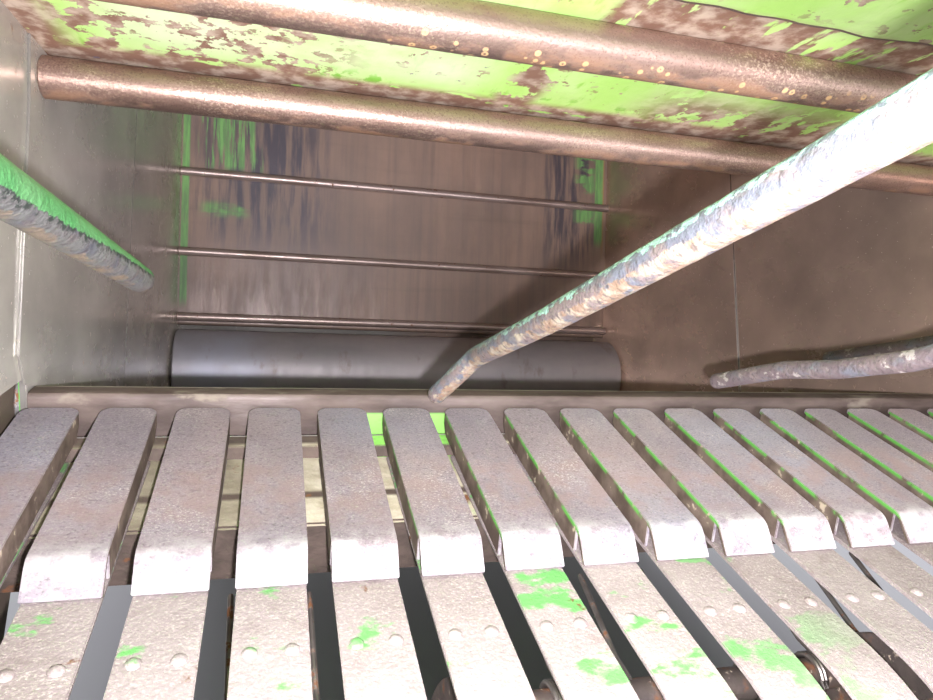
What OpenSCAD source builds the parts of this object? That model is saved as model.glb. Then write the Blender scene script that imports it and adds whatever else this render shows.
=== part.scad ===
// Pickup and intake chamber of a square baler, taken off the machine.
// X runs across the machine, Y from front to rear, Z up. Every height and
// distance below is counted from the ground line and the chamber's mouth
// region; the whole unit is then moved so that the origin is the centre of
// the bolt pattern on the rear posts, where it is carried.

/* [Chamber] */
// Clear width between the two side walls
chamber_w = 1200; // [1100:10:1300]
// Thickness of the side wall plates
wall_t = 8; // [6:1:10]
// Thickness of the bent sheets
sheet_t = 4; // [3:0.5:5]
// Thickness of the wear liners inside the walls
liner_t = 3; // [2:0.5:3.5]
// Height of the chamber's flat roof
roof_z = 965; // [960:5:990]
// Slope of the chamber floor, falling to the rear
floor_slope = 18.4; // [17:0.1:19]
// Radius of the smooth roller at the end of the floor
roller_r = 100; // [90:1:104]
// Diameter of the three round bars on the back plate
back_bar_d = 22; // [16:1:26]

/* [Mouth] */
// Diameter of the two polished cross tubes over the mouth
cross_tube_d = 43; // [40:1:48]
// Height of the lower cross tube
lower_tube_z = 879; // [877:1:884]
// Height of the upper cross tube
upper_tube_z = 930; // [922:1:932]
// Slope of the ceiling sheet, rising to the front
ceiling_slope = 10.7; // [10:0.1:11.5]
// Height of the sill bar's top edge
sill_z = 565; // [560:1:570]

/* [Deck] */
// Number of slats across the deck
slat_count = 17; // [15:1:19]
// Slot between two slats, where the tines pass
slat_gap = 18.5; // [17:0.5:22]
// Slope of the deck, rising to the rear
deck_slope = 10; // [9:0.5:11]
// Depth of the slats' side flanges
flange_h = 24; // [16:1:24]
// Slot between two stripper bands
band_gap = 20; // [18:0.5:24]
// Radius of the stripper bands round the reel
band_r = 190; // [184:1:194]

/* [Reel] */
// Radius of the tine tips
tine_tip_r = 250; // [240:1:250]
// Number of tine bars
bar_count = 4; // [3:1:6]
// Radius of the circle on which the tine bars lie
bar_circle_r = 118; // [100:1:122]
// Diameter of the tine wire
tine_d = 6; // [5:0.5:7]

/* [Crop guard] */
// Diameter of the guard tines, before wear
guard_tine_d = 24; // [20:1:26]
// Diameter of the guard's pivot tube
guard_tube_d = 60; // [50:1:70]

/* [Gauge wheels] */
// Diameter of the gauge wheels
wheel_d = 400; // [380:5:400]
// Width of the gauge wheels
wheel_w = 110; // [90:5:120]

/* [Hidden] */
$fn = 64;
half_w = chamber_w / 2;
side_x = half_w + liner_t;
outer_x = side_x + wall_t;
pitch = (chamber_w + 24) / slat_count;
slat_w = pitch - slat_gap;
band_w = pitch - band_gap;
plate_x = outer_x + 7;
plate_t = 8;
arm_x = plate_x + plate_t;
arm_t = 12;

// Centre of the bolt pattern on the rear posts
mount = [0, 1000, 550];
bolt_r = 9;
bolt_dx = 1296;
bolt_dz = 500;

// Points in the side view are [y, z]
mouth = [-230, 552];
knee = [-464, 552 - 234 * tan(deck_slope)];
nose = [-482, 487];
hinge = [-174, 545];
reel = [-574, 280];
roller = [826, 330];
guard_pivot = [-940, 886];
wheel = [-470, wheel_d / 2];
lower_tube = [-130, lower_tube_z];
upper_tube = [-374, upper_tube_z];
// Gap between the lower cross tube and the ceiling sheet above it
ceiling_gap = 8.5;
floor_start = [-212, 545];
lap_y = -436;
back_t = 5;
back_top = [994.8, roof_z];
back_mid = [926, 648];
back_low = [881, 433];
seam_low = [250.6, 508];
seam_high = [380, 903];
// The bands leave the arc at these angles, with a tongue under the slats and a tail below
band_start = 97.5;
band_end = 285;
band_tongue = 326;
band_tail = 230;
// Running clearance of every shaft and pin
run = 0.05;
shaft_r = 25;
roller_shaft_r = 20;
drive_stub_r = 17.5;
pin_r = 20;

// Helpers in the side view

function unit(v) = v / norm(v);
function turn_of(d) = d > 180 ? d - 360 : d < -180 ? d + 360 : d;

// Arc of radius r that rounds the corner b between a and c
function fillet(a, b, c, r, n = 6) =
    let (
        u = unit(a - b),
        w = unit(c - b),
        half = acos(u * w) / 2,
        centre = b + unit(u + w) * r / sin(half),
        from = b + u * r / tan(half) - centre,
        to = b + w * r / tan(half) - centre,
        a0 = atan2(from.y, from.x),
        turn = turn_of(atan2(to.y, to.x) - a0)
    )
    [for (i = [0:n]) centre + r * [cos(a0 + turn * i / n), sin(a0 + turn * i / n)]];

// Outline of a sheet whose upper face follows a path drawn from front to rear
function side_of(path, i) =
    let (d = unit(path[min(i + 1, len(path) - 1)] - path[max(i - 1, 0)]))
    [d.y, -d.x];
function strip(path, t) =
    concat(path, [for (i = [len(path) - 1:-1:0]) path[i] + t * side_of(path, i)]);

function floor_at(y) = floor_start.y - (y - floor_start.x) * tan(floor_slope);
function deck_at(y) = mouth.y + (y - mouth.x) * tan(deck_slope);
function ceiling_at(y) =
    lower_tube.y + cross_tube_d / 2 + ceiling_gap + (lower_tube.x - y) * tan(ceiling_slope);
function band_at(y) = 483 + (y + 484) * tan(7.5);
function back_at(z) =
    let (a = z > back_mid.y ? back_top : back_low)
    back_mid.x + (z - back_mid.y) * (a.x - back_mid.x) / (a.y - back_mid.y);
function seam_at(z) =
    seam_low.x + (z - seam_low.y) * (seam_high.x - seam_low.x) / (seam_high.y - seam_low.y);

// Helpers in space

module placed() translate(-mount) children();
module along_x(x0, x1) translate([x0, 0, 0]) rotate([90, 0, 90]) linear_extrude(x1 - x0) children();
module mirrored(side) {
    if (side > 0) children();
    else mirror([1, 0, 0]) children();
}

module rod_x(at, r, x0, x1) translate([x0, at.x, at.y]) rotate([0, 90, 0]) cylinder(r = r, h = x1 - x0);

module rod(p, q, r) {
    d = q - p;
    translate(p)
        rotate([0, acos(d.z / norm(d)), atan2(d.y, d.x)])
            cylinder(r = r, h = norm(d));
}

// Outline round two circles, as of a flat arm
module link(p, rp, q, rq) {
    d = norm(q - p);
    a = atan2(q.y - p.y, q.x - p.x);
    b = acos((rp - rq) / d);
    translate(p) circle(rp);
    translate(q) circle(rq);
    polygon([
        p + rp * [cos(a + b), sin(a + b)], p + rp * [cos(a - b), sin(a - b)],
        q + rq * [cos(a - b), sin(a - b)], q + rq * [cos(a + b), sin(a + b)]
    ]);
}

// Chamber walls

module side_wall() {
    difference() {
        along_x(side_x, outer_x) polygon([
            [-212, 420], [1000, 90], [1000, roof_z], [-95, roof_z],
            [-110, ceiling_at(-110) + 45], [-600, ceiling_at(-600) + 45], [-600, 578], [-212, 578]
        ]);
        rod_x(roller, roller_shaft_r + 8, side_x - 1, outer_x + 1);
    }
}
module left_side_wall() placed() color("#6b5a50") mirrored(-1) side_wall();
module right_side_wall() placed() color("#6b5a50") mirrored(1) side_wall();

// Two wear plates with a narrow joint between them, over the side wall
module liner() {
    difference() {
        along_x(half_w, side_x) difference() {
            polygon([
                [-231, 592], [-226, 574], [296, 418], [1000, 418 - 704 * tan(floor_slope)],
                [1000, roof_z], [-90, roof_z], [-90, ceiling_at(-90) - 1],
                [-164, ceiling_at(-164) - 1], [-173, 850], [-237, 607]
            ]);
            polygon([
                [seam_at(0) - 1, 0], [seam_at(0) + 1, 0], [seam_at(1200) + 1, 1200], [seam_at(1200) - 1, 1200]
            ]);
        }
        rod_x(roller, roller_shaft_r + 8, half_w - 1, side_x + 1);
    }
}
module left_liner() placed() color("#6b5a50") mirrored(-1) liner();
module right_liner() placed() color("#6b5a50") mirrored(1) liner();

module floor_sheet() placed() color("#5c5450")
    along_x(-half_w, half_w)
        polygon(strip([[-208, floor_at(-208)], [790, floor_at(790)]], sheet_t));

module back_plate() placed() color("#5a4a42")
    along_x(-half_w, half_w)
        polygon(strip(
            concat([back_top], fillet(back_top, back_mid, back_low, 200),
                fillet(back_mid, back_low, back_low + [34, -6], 8), [back_low + [34, -6]]),
            -back_t));

module back_bars() placed() color("#6b5548")
    for (z = [818, 619, 456])
        rod_x([back_at(z) - back_bar_d / 2 - 1, z], back_bar_d / 2, -half_w, half_w);

// Closes the space behind the roller
module rear_cover() placed() color("#4f8424")
    along_x(-half_w, half_w) translate([940, 200]) square([4, 270]);

module chamber_roof() placed() color("#5f9a2a")
    along_x(-outer_x, outer_x)
        polygon([[-95, roof_z], [1000, roof_z], [1000, roof_z + sheet_t], [-95, roof_z + sheet_t]]);

module ceiling_sheet() placed() color("#7cc02f")
    along_x(-side_x, side_x)
        polygon(strip(
            concat([[-600, ceiling_at(-600)]],
                fillet([-600, ceiling_at(-600)], [-90, ceiling_at(-90)], [-90, roof_z], 12),
                [[-90, roof_z]]),
            -sheet_t));

module front_hood() placed() color("#76b82c")
    along_x(-side_x, side_x)
        polygon(strip(
            concat([[-690, ceiling_at(-600) + 90]],
                fillet([-690, ceiling_at(-600) + 90], [-640, ceiling_at(-640) - sheet_t - 0.1],
                    [lap_y, ceiling_at(lap_y) - sheet_t - 0.1], 60),
                [[lap_y, ceiling_at(lap_y) - sheet_t - 0.1]]),
            sheet_t));

module sill_bar() placed() color("#8a6a4c")
    along_x(-half_w, half_w)
        polygon([[-222, 500], [-212, 500], [-212, floor_start.y], [-190, floor_at(-190)], [-190, sill_z - 6], [-196, sill_z], [-222, sill_z]]);

module lower_cross_tube() placed() color("#7a5a48")
    rod_x(lower_tube, cross_tube_d / 2, -half_w, half_w);

module upper_cross_tube() placed() color("#7a5a48")
    rod_x(upper_tube, cross_tube_d / 2, -side_x, side_x);

module front_cross_member() placed() color("#4f8424")
    along_x(-side_x, side_x)
        polygon([
            [-60, 370], [40, 370], [40, floor_at(40) - sheet_t - 2], [-60, floor_at(-60) - sheet_t - 2]
        ]);

module rear_cross_member() placed() color("#4f8424")
    along_x(-side_x, side_x)
        polygon([
            [560, 205], [660, 180], [660, floor_at(660) - sheet_t - 2], [560, floor_at(560) - sheet_t - 2]
        ]);

module rear_beam() placed() color("#4f8424")
    along_x(-half_w, half_w) translate([930, 470]) square([70, 90]);

module rear_post() {
    difference() {
        translate([outer_x, 920, 90]) linear_extrude(roof_z - 90) difference() {
            square([80, 80]);
            translate([6, 8]) square([80, 60]);
        }
        for (z = [-bolt_dz / 2, bolt_dz / 2])
            translate([bolt_dx / 2, 980, mount.z + z]) rotate([-90, 0, 0]) cylinder(r = bolt_r, h = 30);
    }
}
module left_rear_post() placed() color("#4f8424") mirrored(-1) rear_post();
module right_rear_post() placed() color("#4f8424") mirrored(1) rear_post();

module front_post() {
    translate([outer_x, -95, 400]) linear_extrude(roof_z - 400) difference() {
        square([70, 70]);
        translate([6, 6]) square([70, 58]);
    }
}
module left_front_post() placed() color("#4f8424") mirrored(-1) front_post();
module right_front_post() placed() color("#4f8424") mirrored(1) front_post();

module roller_bearings() placed() color("#4a4a48")
    for (side = [-1, 1]) mirrored(side) difference() {
        union() {
            along_x(outer_x, outer_x + 14) link(roller - [0, 55], 20, roller + [0, 55], 20);
            rod_x(roller, 48, outer_x, outer_x + 34);
        }
        rod_x(roller, roller_shaft_r + run, outer_x - 1, outer_x + 40);
    }

module pivot_pins() placed() color("#8b8b86")
    for (side = [-1, 1]) mirrored(side) {
        rod_x(hinge, pin_r, outer_x, arm_x + arm_t + 2);
        rod_x(hinge, pin_r + 14, outer_x, plate_x - 0.5);
        rod_x(hinge, pin_r + 10, arm_x + 0.5, arm_x + arm_t + 2);
    }

module chamber_roller() placed() color("#6f7f8c") {
    rod_x(roller, roller_r, -half_w + 5, half_w - 5);
    rod_x(roller, roller_shaft_r, -outer_x - 44, outer_x + 44);
    rod_x(roller, drive_stub_r, outer_x + 44, outer_x + 104);
}

// Pickup deck

slat_path = concat([nose], fillet(nose, knee, mouth, 20), [mouth]);
slat_x = [for (i = [0:slat_count - 1]) pitch * (i - (slat_count - 1) / 2)];
gap_x = [for (i = [0:slat_count - 2]) slat_x[i] + pitch / 2];

module slat_flange() {
    polygon([
        [mouth.x - 10, deck_at(mouth.x - 10) - 2], [mouth.x - 10, deck_at(mouth.x - 10) - flange_h],
        [knee.x + 6, deck_at(knee.x + 6) - flange_h], [knee.x + 6, deck_at(knee.x + 6) - 2]
    ]);
}

// A slat seen from above, with its two rear corners rounded
slat_plan = let (w = slat_w / 2, a = [-w, mouth.x], b = [w, mouth.x], c = [w, -500], d = [-w, -500])
    concat([d], fillet(d, a, b, 12), fillet(a, b, c, 12), [c]);

module slat() {
    intersection() {
        along_x(-slat_w / 2, slat_w / 2) polygon(strip(slat_path, sheet_t));
        translate([0, 0, 450]) linear_extrude(150) polygon(slat_plan);
    }
    for (side = [-1, 1]) mirrored(side)
        along_x(slat_w / 2 - 3, slat_w / 2) slat_flange();
}

module deck_slats() placed() color("#84777a")
    for (x = slat_x) translate([x, 0, 0]) slat();

module deck_rail() placed() color("#7d7a60")
    along_x(-half_w - 2, half_w + 2)
        polygon([
            [-268, deck_at(-268) - flange_h - 0.1], [-244, deck_at(-244) - flange_h - 0.1],
            [-244, band_at(-244) - sheet_t], [-268, band_at(-268) - sheet_t]
        ]);

module pickup_beam() placed() color("#6da532")
    along_x(-plate_x, plate_x)
        polygon([
            [-390, band_at(-390) - sheet_t - 0.1], [-244, band_at(-244) - sheet_t - 0.1], [-244, 425], [-345, 415]
        ]);

// Stripper bands bend round the reel, with a straight tongue above and a straight tail below

function polar(r, a) = r * [cos(a), sin(a)];
band_path = concat(
    [reel + polar(band_r, band_start) + polar(band_tongue, band_start - 90)],
    [for (i = [0:32]) reel + polar(band_r, band_start + (band_end - band_start) * i / 32)],
    [reel + polar(band_r, band_end) + polar(band_tail, band_end + 90)]
);

module stripper_bands() placed() color("#8d8580")
    for (x = slat_x) along_x(x - band_w / 2, x + band_w / 2) polygon(strip(band_path, -sheet_t));

module band_lower_bar() placed() color("#4f8424")
    translate([0, reel.x, reel.y]) rotate([band_end, 0, 0]) translate([0, band_r - sheet_t - 10, band_tail - 44])
        translate([-plate_x, 0, 0]) cube([2 * plate_x, 10, 40]);

// Pickup sides

module pickup_plate() {
    difference() {
        along_x(plate_x, plate_x + plate_t) {
            link(reel, 236, hinge, 50);
            link(reel, 236, [-320, 150], 45);
        }
        rod_x(hinge, pin_r + run, plate_x - 1, arm_x + 1);
        rod_x(reel, shaft_r + 10, plate_x - 1, arm_x + 1);
    }
}
module left_pickup_plate() placed() color("#6aa62f") mirrored(-1) pickup_plate();
module right_pickup_plate() placed() color("#6aa62f") mirrored(1) pickup_plate();

module reel_bearings() placed() color("#4a4a48")
    for (side = [-1, 1]) mirrored(side) difference() {
        along_x(arm_x, arm_x + 12) translate(reel) circle(60);
        rod_x(reel, shaft_r + run, arm_x - 1, arm_x + 13);
    }

module guard_arm() {
    difference() {
        along_x(arm_x, arm_x + arm_t) link([-560, 470], 36, guard_pivot, 36);
        rod_x(guard_pivot, pin_r + run, arm_x - 1, arm_x + arm_t + 1);
    }
}
module left_guard_arm() placed() color("#6aa62f") mirrored(-1) guard_arm();
module right_guard_arm() placed() color("#6aa62f") mirrored(1) guard_arm();

axle_r = 14;
wheel_x = arm_x + 80;
module wheel_arm() {
    along_x(arm_x, arm_x + arm_t) link([-400, 400], 34, wheel, 28);
    rod_x(wheel, axle_r, arm_x, wheel_x + wheel_w + 4);
    rod_x(wheel, axle_r + 10, arm_x, wheel_x - 4);
    rod_x(wheel, axle_r + 10, wheel_x + wheel_w + 4, wheel_x + wheel_w + 12);
}
module left_wheel_arm() placed() color("#4f8424") mirrored(-1) wheel_arm();
module right_wheel_arm() placed() color("#4f8424") mirrored(1) wheel_arm();

module reel_drive_cover() placed() color("#6aa62f")
    along_x(arm_x + arm_t + 3, arm_x + arm_t + 53) link(reel, 88, hinge, 66);

// Reel

module reel_shaft() placed() color("#5a5854") {
    rod_x(reel, shaft_r, -arm_x - 13, arm_x + 13);
    for (x = [-half_w + 20, -pitch * 3, pitch * 3 - 8, half_w - 28])
        difference() {
            rod_x(reel, bar_circle_r + 26, x, x + 8);
            for (i = [0:bar_count - 1])
                rod_x(bar_at(i), 16.2, x - 1, x + 9);
        }
}

function bar_at(i) = reel + polar(bar_circle_r, i * 360 / bar_count + 30);
function tip_at(i) = reel + polar(tine_tip_r, i * 360 / bar_count + 30);

module tine_bars() placed() color("#5a5854")
    for (i = [0:bar_count - 1]) rod_x(bar_at(i), 16, -half_w + 12, half_w - 12);

module reel_tines() placed() color("#8a8378")
    for (i = [0:bar_count - 1], x = gap_x) {
        difference() {
            rod_x(bar_at(i), 24, x - 8, x + 8);
            rod_x(bar_at(i), 16.2, x - 9, x + 9);
        }
        rod(concat([x], bar_at(i) + 20 * unit(tip_at(i) - reel)), concat([x], tip_at(i)), tine_d / 2);
    }

// Crop guard

// Wear off each bar's diameter, then its points across, along and up to the tip
guard_tines_at = [
    [0, [[-479, -700, 790], [-479, -311, 696]]],
    [3, [[-163, -501, 705], [-164, -318, 633], [-187, -262, 578]]],
    [5, [[157, -530, 686], [157, -455, 660], [157, -385, 642], [157, -280, 602]]],
    [3, [[474, -260, 650], [474, -119, 600]]]
];

module guard_tube() placed() color("#6aa62f") {
    rod_x(guard_pivot, guard_tube_d / 2, -plate_x + 2, plate_x - 2);
    rod_x(guard_pivot, pin_r, -arm_x - arm_t - 14, arm_x + arm_t + 14);
    for (side = [-1, 1]) mirrored(side) rod_x(guard_pivot, pin_r + 10, arm_x + arm_t + 0.5, arm_x + arm_t + 8);
}

module guard_tine(wear, path) {
    r = (guard_tine_d - wear) / 2;
    root = [path[0].x, guard_pivot.x, guard_pivot.y];
    points = concat([root + unit(path[0] - root) * (guard_tube_d / 2 - 1)], path);
    difference() {
        union() for (i = [1:len(points) - 1]) {
            rod(points[i - 1], points[i], r);
            translate(points[i]) sphere(r + 0.3);
        }
        rod_x(guard_pivot, guard_tube_d / 2, root.x - 50, root.x + 50);
    }
}

module guard_tines() placed() color("#7f9a5a")
    for (tine = guard_tines_at) guard_tine(tine[0], tine[1]);

// Gauge wheels

module wheel_tyre() {
    translate([wheel_x + wheel_w / 2, wheel.x, wheel.y]) rotate([0, 90, 0]) rotate_extrude()
        polygon([
            [128, -wheel_w / 2 + 12], [wheel_d / 2 - 20, -wheel_w / 2], [wheel_d / 2, -wheel_w / 2 + 26],
            [wheel_d / 2, wheel_w / 2 - 26], [wheel_d / 2 - 20, wheel_w / 2], [128, wheel_w / 2 - 12]
        ]);
}
module wheel_rim() {
    difference() {
        union() {
            rod_x(wheel, 127.5, wheel_x + wheel_w / 2 - 4, wheel_x + wheel_w / 2 + 4);
            rod_x(wheel, 30, wheel_x, wheel_x + wheel_w);
            difference() {
                rod_x(wheel, 127.5, wheel_x + 14, wheel_x + wheel_w - 14);
                rod_x(wheel, 120, wheel_x + 13, wheel_x + wheel_w - 13);
            }
        }
        rod_x(wheel, axle_r + run, wheel_x - 1, wheel_x + wheel_w + 1);
    }
}
module left_wheel_tyre() placed() color("#2a2a2a") mirrored(-1) wheel_tyre();
module right_wheel_tyre() placed() color("#2a2a2a") mirrored(1) wheel_tyre();
module left_wheel_rim() placed() color("#9c9a93") mirrored(-1) wheel_rim();
module right_wheel_rim() placed() color("#9c9a93") mirrored(1) wheel_rim();

left_side_wall();
right_side_wall();
left_liner();
right_liner();
floor_sheet();
back_plate();
back_bars();
rear_cover();
chamber_roof();
ceiling_sheet();
front_hood();
sill_bar();
lower_cross_tube();
upper_cross_tube();
front_cross_member();
rear_cross_member();
rear_beam();
left_rear_post();
right_rear_post();
left_front_post();
right_front_post();
roller_bearings();
pivot_pins();
chamber_roller();
deck_slats();
deck_rail();
pickup_beam();
stripper_bands();
band_lower_bar();
left_pickup_plate();
right_pickup_plate();
reel_bearings();
left_guard_arm();
right_guard_arm();
left_wheel_arm();
right_wheel_arm();
reel_drive_cover();
reel_shaft();
tine_bars();
reel_tines();
guard_tube();
guard_tines();
left_wheel_tyre();
left_wheel_rim();
right_wheel_tyre();
right_wheel_rim();
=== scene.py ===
import math

import bmesh
import bpy
from mathutils import Matrix, Vector, noise


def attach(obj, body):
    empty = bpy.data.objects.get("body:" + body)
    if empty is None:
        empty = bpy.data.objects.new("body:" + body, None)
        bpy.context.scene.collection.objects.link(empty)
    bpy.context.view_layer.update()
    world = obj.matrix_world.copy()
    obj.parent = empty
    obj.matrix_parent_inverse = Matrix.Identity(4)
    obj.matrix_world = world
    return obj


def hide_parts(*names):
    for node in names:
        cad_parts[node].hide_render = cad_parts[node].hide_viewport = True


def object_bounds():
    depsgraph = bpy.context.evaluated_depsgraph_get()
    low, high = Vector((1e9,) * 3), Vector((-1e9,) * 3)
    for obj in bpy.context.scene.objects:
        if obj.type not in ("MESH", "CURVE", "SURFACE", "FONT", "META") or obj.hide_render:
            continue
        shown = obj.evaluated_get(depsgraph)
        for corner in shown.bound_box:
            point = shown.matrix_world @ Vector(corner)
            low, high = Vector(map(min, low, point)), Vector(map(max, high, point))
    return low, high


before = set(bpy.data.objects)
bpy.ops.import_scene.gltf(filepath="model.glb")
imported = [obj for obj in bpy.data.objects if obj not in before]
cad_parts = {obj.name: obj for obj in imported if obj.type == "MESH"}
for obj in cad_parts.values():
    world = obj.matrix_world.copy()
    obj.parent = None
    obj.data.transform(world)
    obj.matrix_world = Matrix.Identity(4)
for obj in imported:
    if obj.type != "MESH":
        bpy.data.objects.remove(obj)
cad_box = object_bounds()


def linked(name, data):
    """A new object of the scene with this data."""
    made = bpy.data.objects.new(name, data)
    bpy.context.scene.collection.objects.link(made)
    return made


# The photograph's view: from in front of the mouth, just under the crop guard,
# looking rearward into the chamber. The lens is 684 px on a frame 933 px wide.
CAMERA_AT = Vector((-0.364, -1.974, 0.23))
LOOK_DOWN, LOOK_RIGHT, CAMERA_ROLL = (math.radians(a) for a in (12, 15.83, 1.45))
FOCAL_PX, FRAME_PX = 684, 933

camera_data = bpy.data.cameras.new("camera")
camera_data.lens = camera_data.sensor_width * FOCAL_PX / FRAME_PX
camera_data.clip_start = 0.01
camera = linked("camera", camera_data)
camera.matrix_world = (
    Matrix.Translation(CAMERA_AT)
    @ Matrix.Rotation(math.pi / 2 - LOOK_DOWN, 4, "X")
    @ Matrix.Rotation(-LOOK_RIGHT, 4, "Y")
    @ Matrix.Rotation(CAMERA_ROLL, 4, "Z")
)
bpy.context.scene.camera = camera
bpy.context.scene.view_settings.view_transform = "Standard"


# The studio: a plain pale floor at the wheels' foot, a pale world, soft lamps in front,
# above, behind and low down, and a small lamp beside the lens, which puts the guard
# bar's shadow on the back plate. It and the low lamp leave the studio's floor out.
LENS_LAMP_AT = CAMERA_AT + Vector((0.017, -0.01, -0.023))
LENS_LAMP_RADIUS = 0.006


def add(tree, kind, inputs=None, **settings):
    """A node of this kind; its inputs are sockets to link or plain values."""
    made = tree.nodes.new(kind)
    for name, value in settings.items():
        setattr(made, name, value)
    for name, value in (inputs or {}).items():
        if isinstance(value, bpy.types.NodeSocket):
            tree.links.new(value, made.inputs[name])
        else:
            made.inputs[name].default_value = value
    return made


def new_material(name):
    """An empty node material and its tree."""
    material = bpy.data.materials.new(name)
    material.use_nodes = True
    material.node_tree.nodes.clear()
    return material, material.node_tree


def lamp(name, kind, place, watts, aim=None, **settings):
    """A cool white lamp at this place, turned to shine at aim."""
    data = bpy.data.lights.new(name, kind)
    data.energy = watts
    data.color = (1, 0.97, 1.12)
    for setting, value in settings.items():
        setattr(data, setting, value)
    made = linked(name, data)
    made.location = place
    if aim is not None:
        made.rotation_euler = (Vector(aim) - Vector(place)).to_track_quat("-Z", "Y").to_euler()
    return made


FLOOR_HALF = 12
floor_mesh = bpy.data.meshes.new("studio_floor")
corners = ((-1, -1), (1, -1), (1, 1), (-1, 1))
floor_corners = [(x * FLOOR_HALF, y * FLOOR_HALF, cad_box[0].z) for x, y in corners]
floor_mesh.from_pydata(floor_corners, [], [(0, 1, 2, 3)])
studio_floor = linked("studio_floor", floor_mesh)
floor_material, tree = new_material("studio_floor")
shader = add(tree, "ShaderNodeBsdfPrincipled", {"Base Color": (0.56, 0.555, 0.55, 1), "Roughness": 0.8})
add(tree, "ShaderNodeOutputMaterial", {"Surface": shader.outputs[0]})
floor_mesh.materials.append(floor_material)

world = bpy.data.worlds.new("studio")
world.use_nodes = True
background = world.node_tree.nodes["Background"]
background.inputs["Color"].default_value = (0.92, 0.92, 1, 1)
background.inputs["Strength"].default_value = 0.5
bpy.context.scene.world = world
soft_lamps = {
    name: lamp(name, "AREA", place, watts, aim, shape="RECTANGLE", size=width, size_y=height)
    for name, place, watts, aim, width, height in (
        ("front_lamp", (0.4, -4.4, 0.9), 35, (-0.1, -1, 0.1), 3, 1.8),
        ("top_lamp", (0.5, -1.4, 6), 330, (0, -1, 0), 8, 8),
        ("rear_lamp", (-1, 4.5, 1.6), 130, (0, -0.6, 0), 4, 2),
        ("ground_lamp", (0.3, -3.9, -0.22), 60, (0, -1, 0.2), 3, 0.6),
    )
}
lens_lamp = lamp("lens_lamp", "POINT", LENS_LAMP_AT, 54, shadow_soft_size=LENS_LAMP_RADIUS)
not_floor = bpy.data.collections.new("all_but_the_floor")
not_floor.objects.link(studio_floor)
not_floor.collection_objects[0].light_linking.link_state = "EXCLUDE"
for each in (lens_lamp, soft_lamps["ground_lamp"]):
    each.light_linking.receiver_collection = not_floor


# Side walls and their wear liners: 8 mm outer plates with 3 mm sheets inside, joined
# on a straight line half way back. Years of crop have polished them dark brown-grey,
# and a pale line along the seam is a painted highlight. Outside they keep the green paint.
HALF_W, SIDE_X, OUTER_X = 600, 603, 611
FLOOR_SLOPE = math.tan(math.radians(18.4))
CEILING_SLOPE = math.tan(math.radians(10.7))
FLOOR_START = (-212, 545)
LOWER_TUBE, UPPER_TUBE, TUBE_R, CEILING_GAP = (-130, 879), (-374, 930), 21.5, 8.5
SEAM_LOW, SEAM_HIGH = (250.6, 508), (380, 903)
SEAM_LEAN = (SEAM_HIGH[0] - SEAM_LOW[0]) / (SEAM_HIGH[1] - SEAM_LOW[1])
ROOF_Z, REAR_Y = 965, 1000
ORIGIN_Y, ORIGIN_Z = 1000, 550


def at(x, y, z):
    """Millimetres across, along from the mouth's datum and up from the ground, in the frame's metres."""
    return Vector((x, y - ORIGIN_Y, z - ORIGIN_Z)) / 1000


def floor_at(y):
    return FLOOR_START[1] - (y - FLOOR_START[0]) * FLOOR_SLOPE


def ceiling_at(y):
    return LOWER_TUBE[1] + TUBE_R + CEILING_GAP + (LOWER_TUBE[0] - y) * CEILING_SLOPE


def seam_at(z):
    return SEAM_LOW[0] + (z - SEAM_LOW[1]) * SEAM_LEAN


def coords(tree, stretch=(1, 1, 1)):
    """Object coordinates in metres, scaled along each axis."""
    place = add(tree, "ShaderNodeTexCoord").outputs["Object"]
    return add(tree, "ShaderNodeMapping", {"Vector": place, "Scale": stretch}).outputs[0]


def axis(tree, name):
    """One of the X, Y and Z coordinates in metres."""
    place = add(tree, "ShaderNodeTexCoord").outputs["Object"]
    return add(tree, "ShaderNodeSeparateXYZ", {"Vector": place}).outputs[name]


def facing(tree, name):
    """How far the surface faces along X, Y or Z, from -1 to 1."""
    normal = add(tree, "ShaderNodeNewGeometry").outputs["Normal"]
    return add(tree, "ShaderNodeSeparateXYZ", {"Vector": normal}).outputs[name]


def grain(tree, where, scale, detail, roughness):
    """Cloudy noise from 0 to 1."""
    return add(tree, "ShaderNodeTexNoise", {
        "Vector": where, "Scale": scale, "Detail": detail, "Roughness": roughness,
    }).outputs[0]


def between(tree, value, low, high, start=0, end=1):
    """Goes smoothly from start to end while value goes from low to high."""
    inputs = {"Value": value, "From Min": low, "From Max": high, "To Min": start, "To Max": end}
    return add(tree, "ShaderNodeMapRange", inputs, interpolation_type="SMOOTHSTEP").outputs[0]


def maths(tree, operation, a, b=0):
    return add(tree, "ShaderNodeMath", {0: a, 1: b}, operation=operation).outputs[0]


def mix(tree, factor, a, b):
    """Blends two colours, or two numbers."""
    if isinstance(a, (int, float)) or (isinstance(a, bpy.types.NodeSocket) and a.type == "VALUE"):
        return add(tree, "ShaderNodeMix", {0: factor, 2: a, 3: b}, data_type="FLOAT").outputs[0]
    return add(tree, "ShaderNodeMix", {0: factor, 6: a, 7: b}, data_type="RGBA").outputs[2]


def socket(tree, value):
    """What a node takes: value is a function of the tree, a colour of three numbers, or a number."""
    if callable(value):
        return value(tree)
    return (*value, 1) if isinstance(value, tuple) else value


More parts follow.
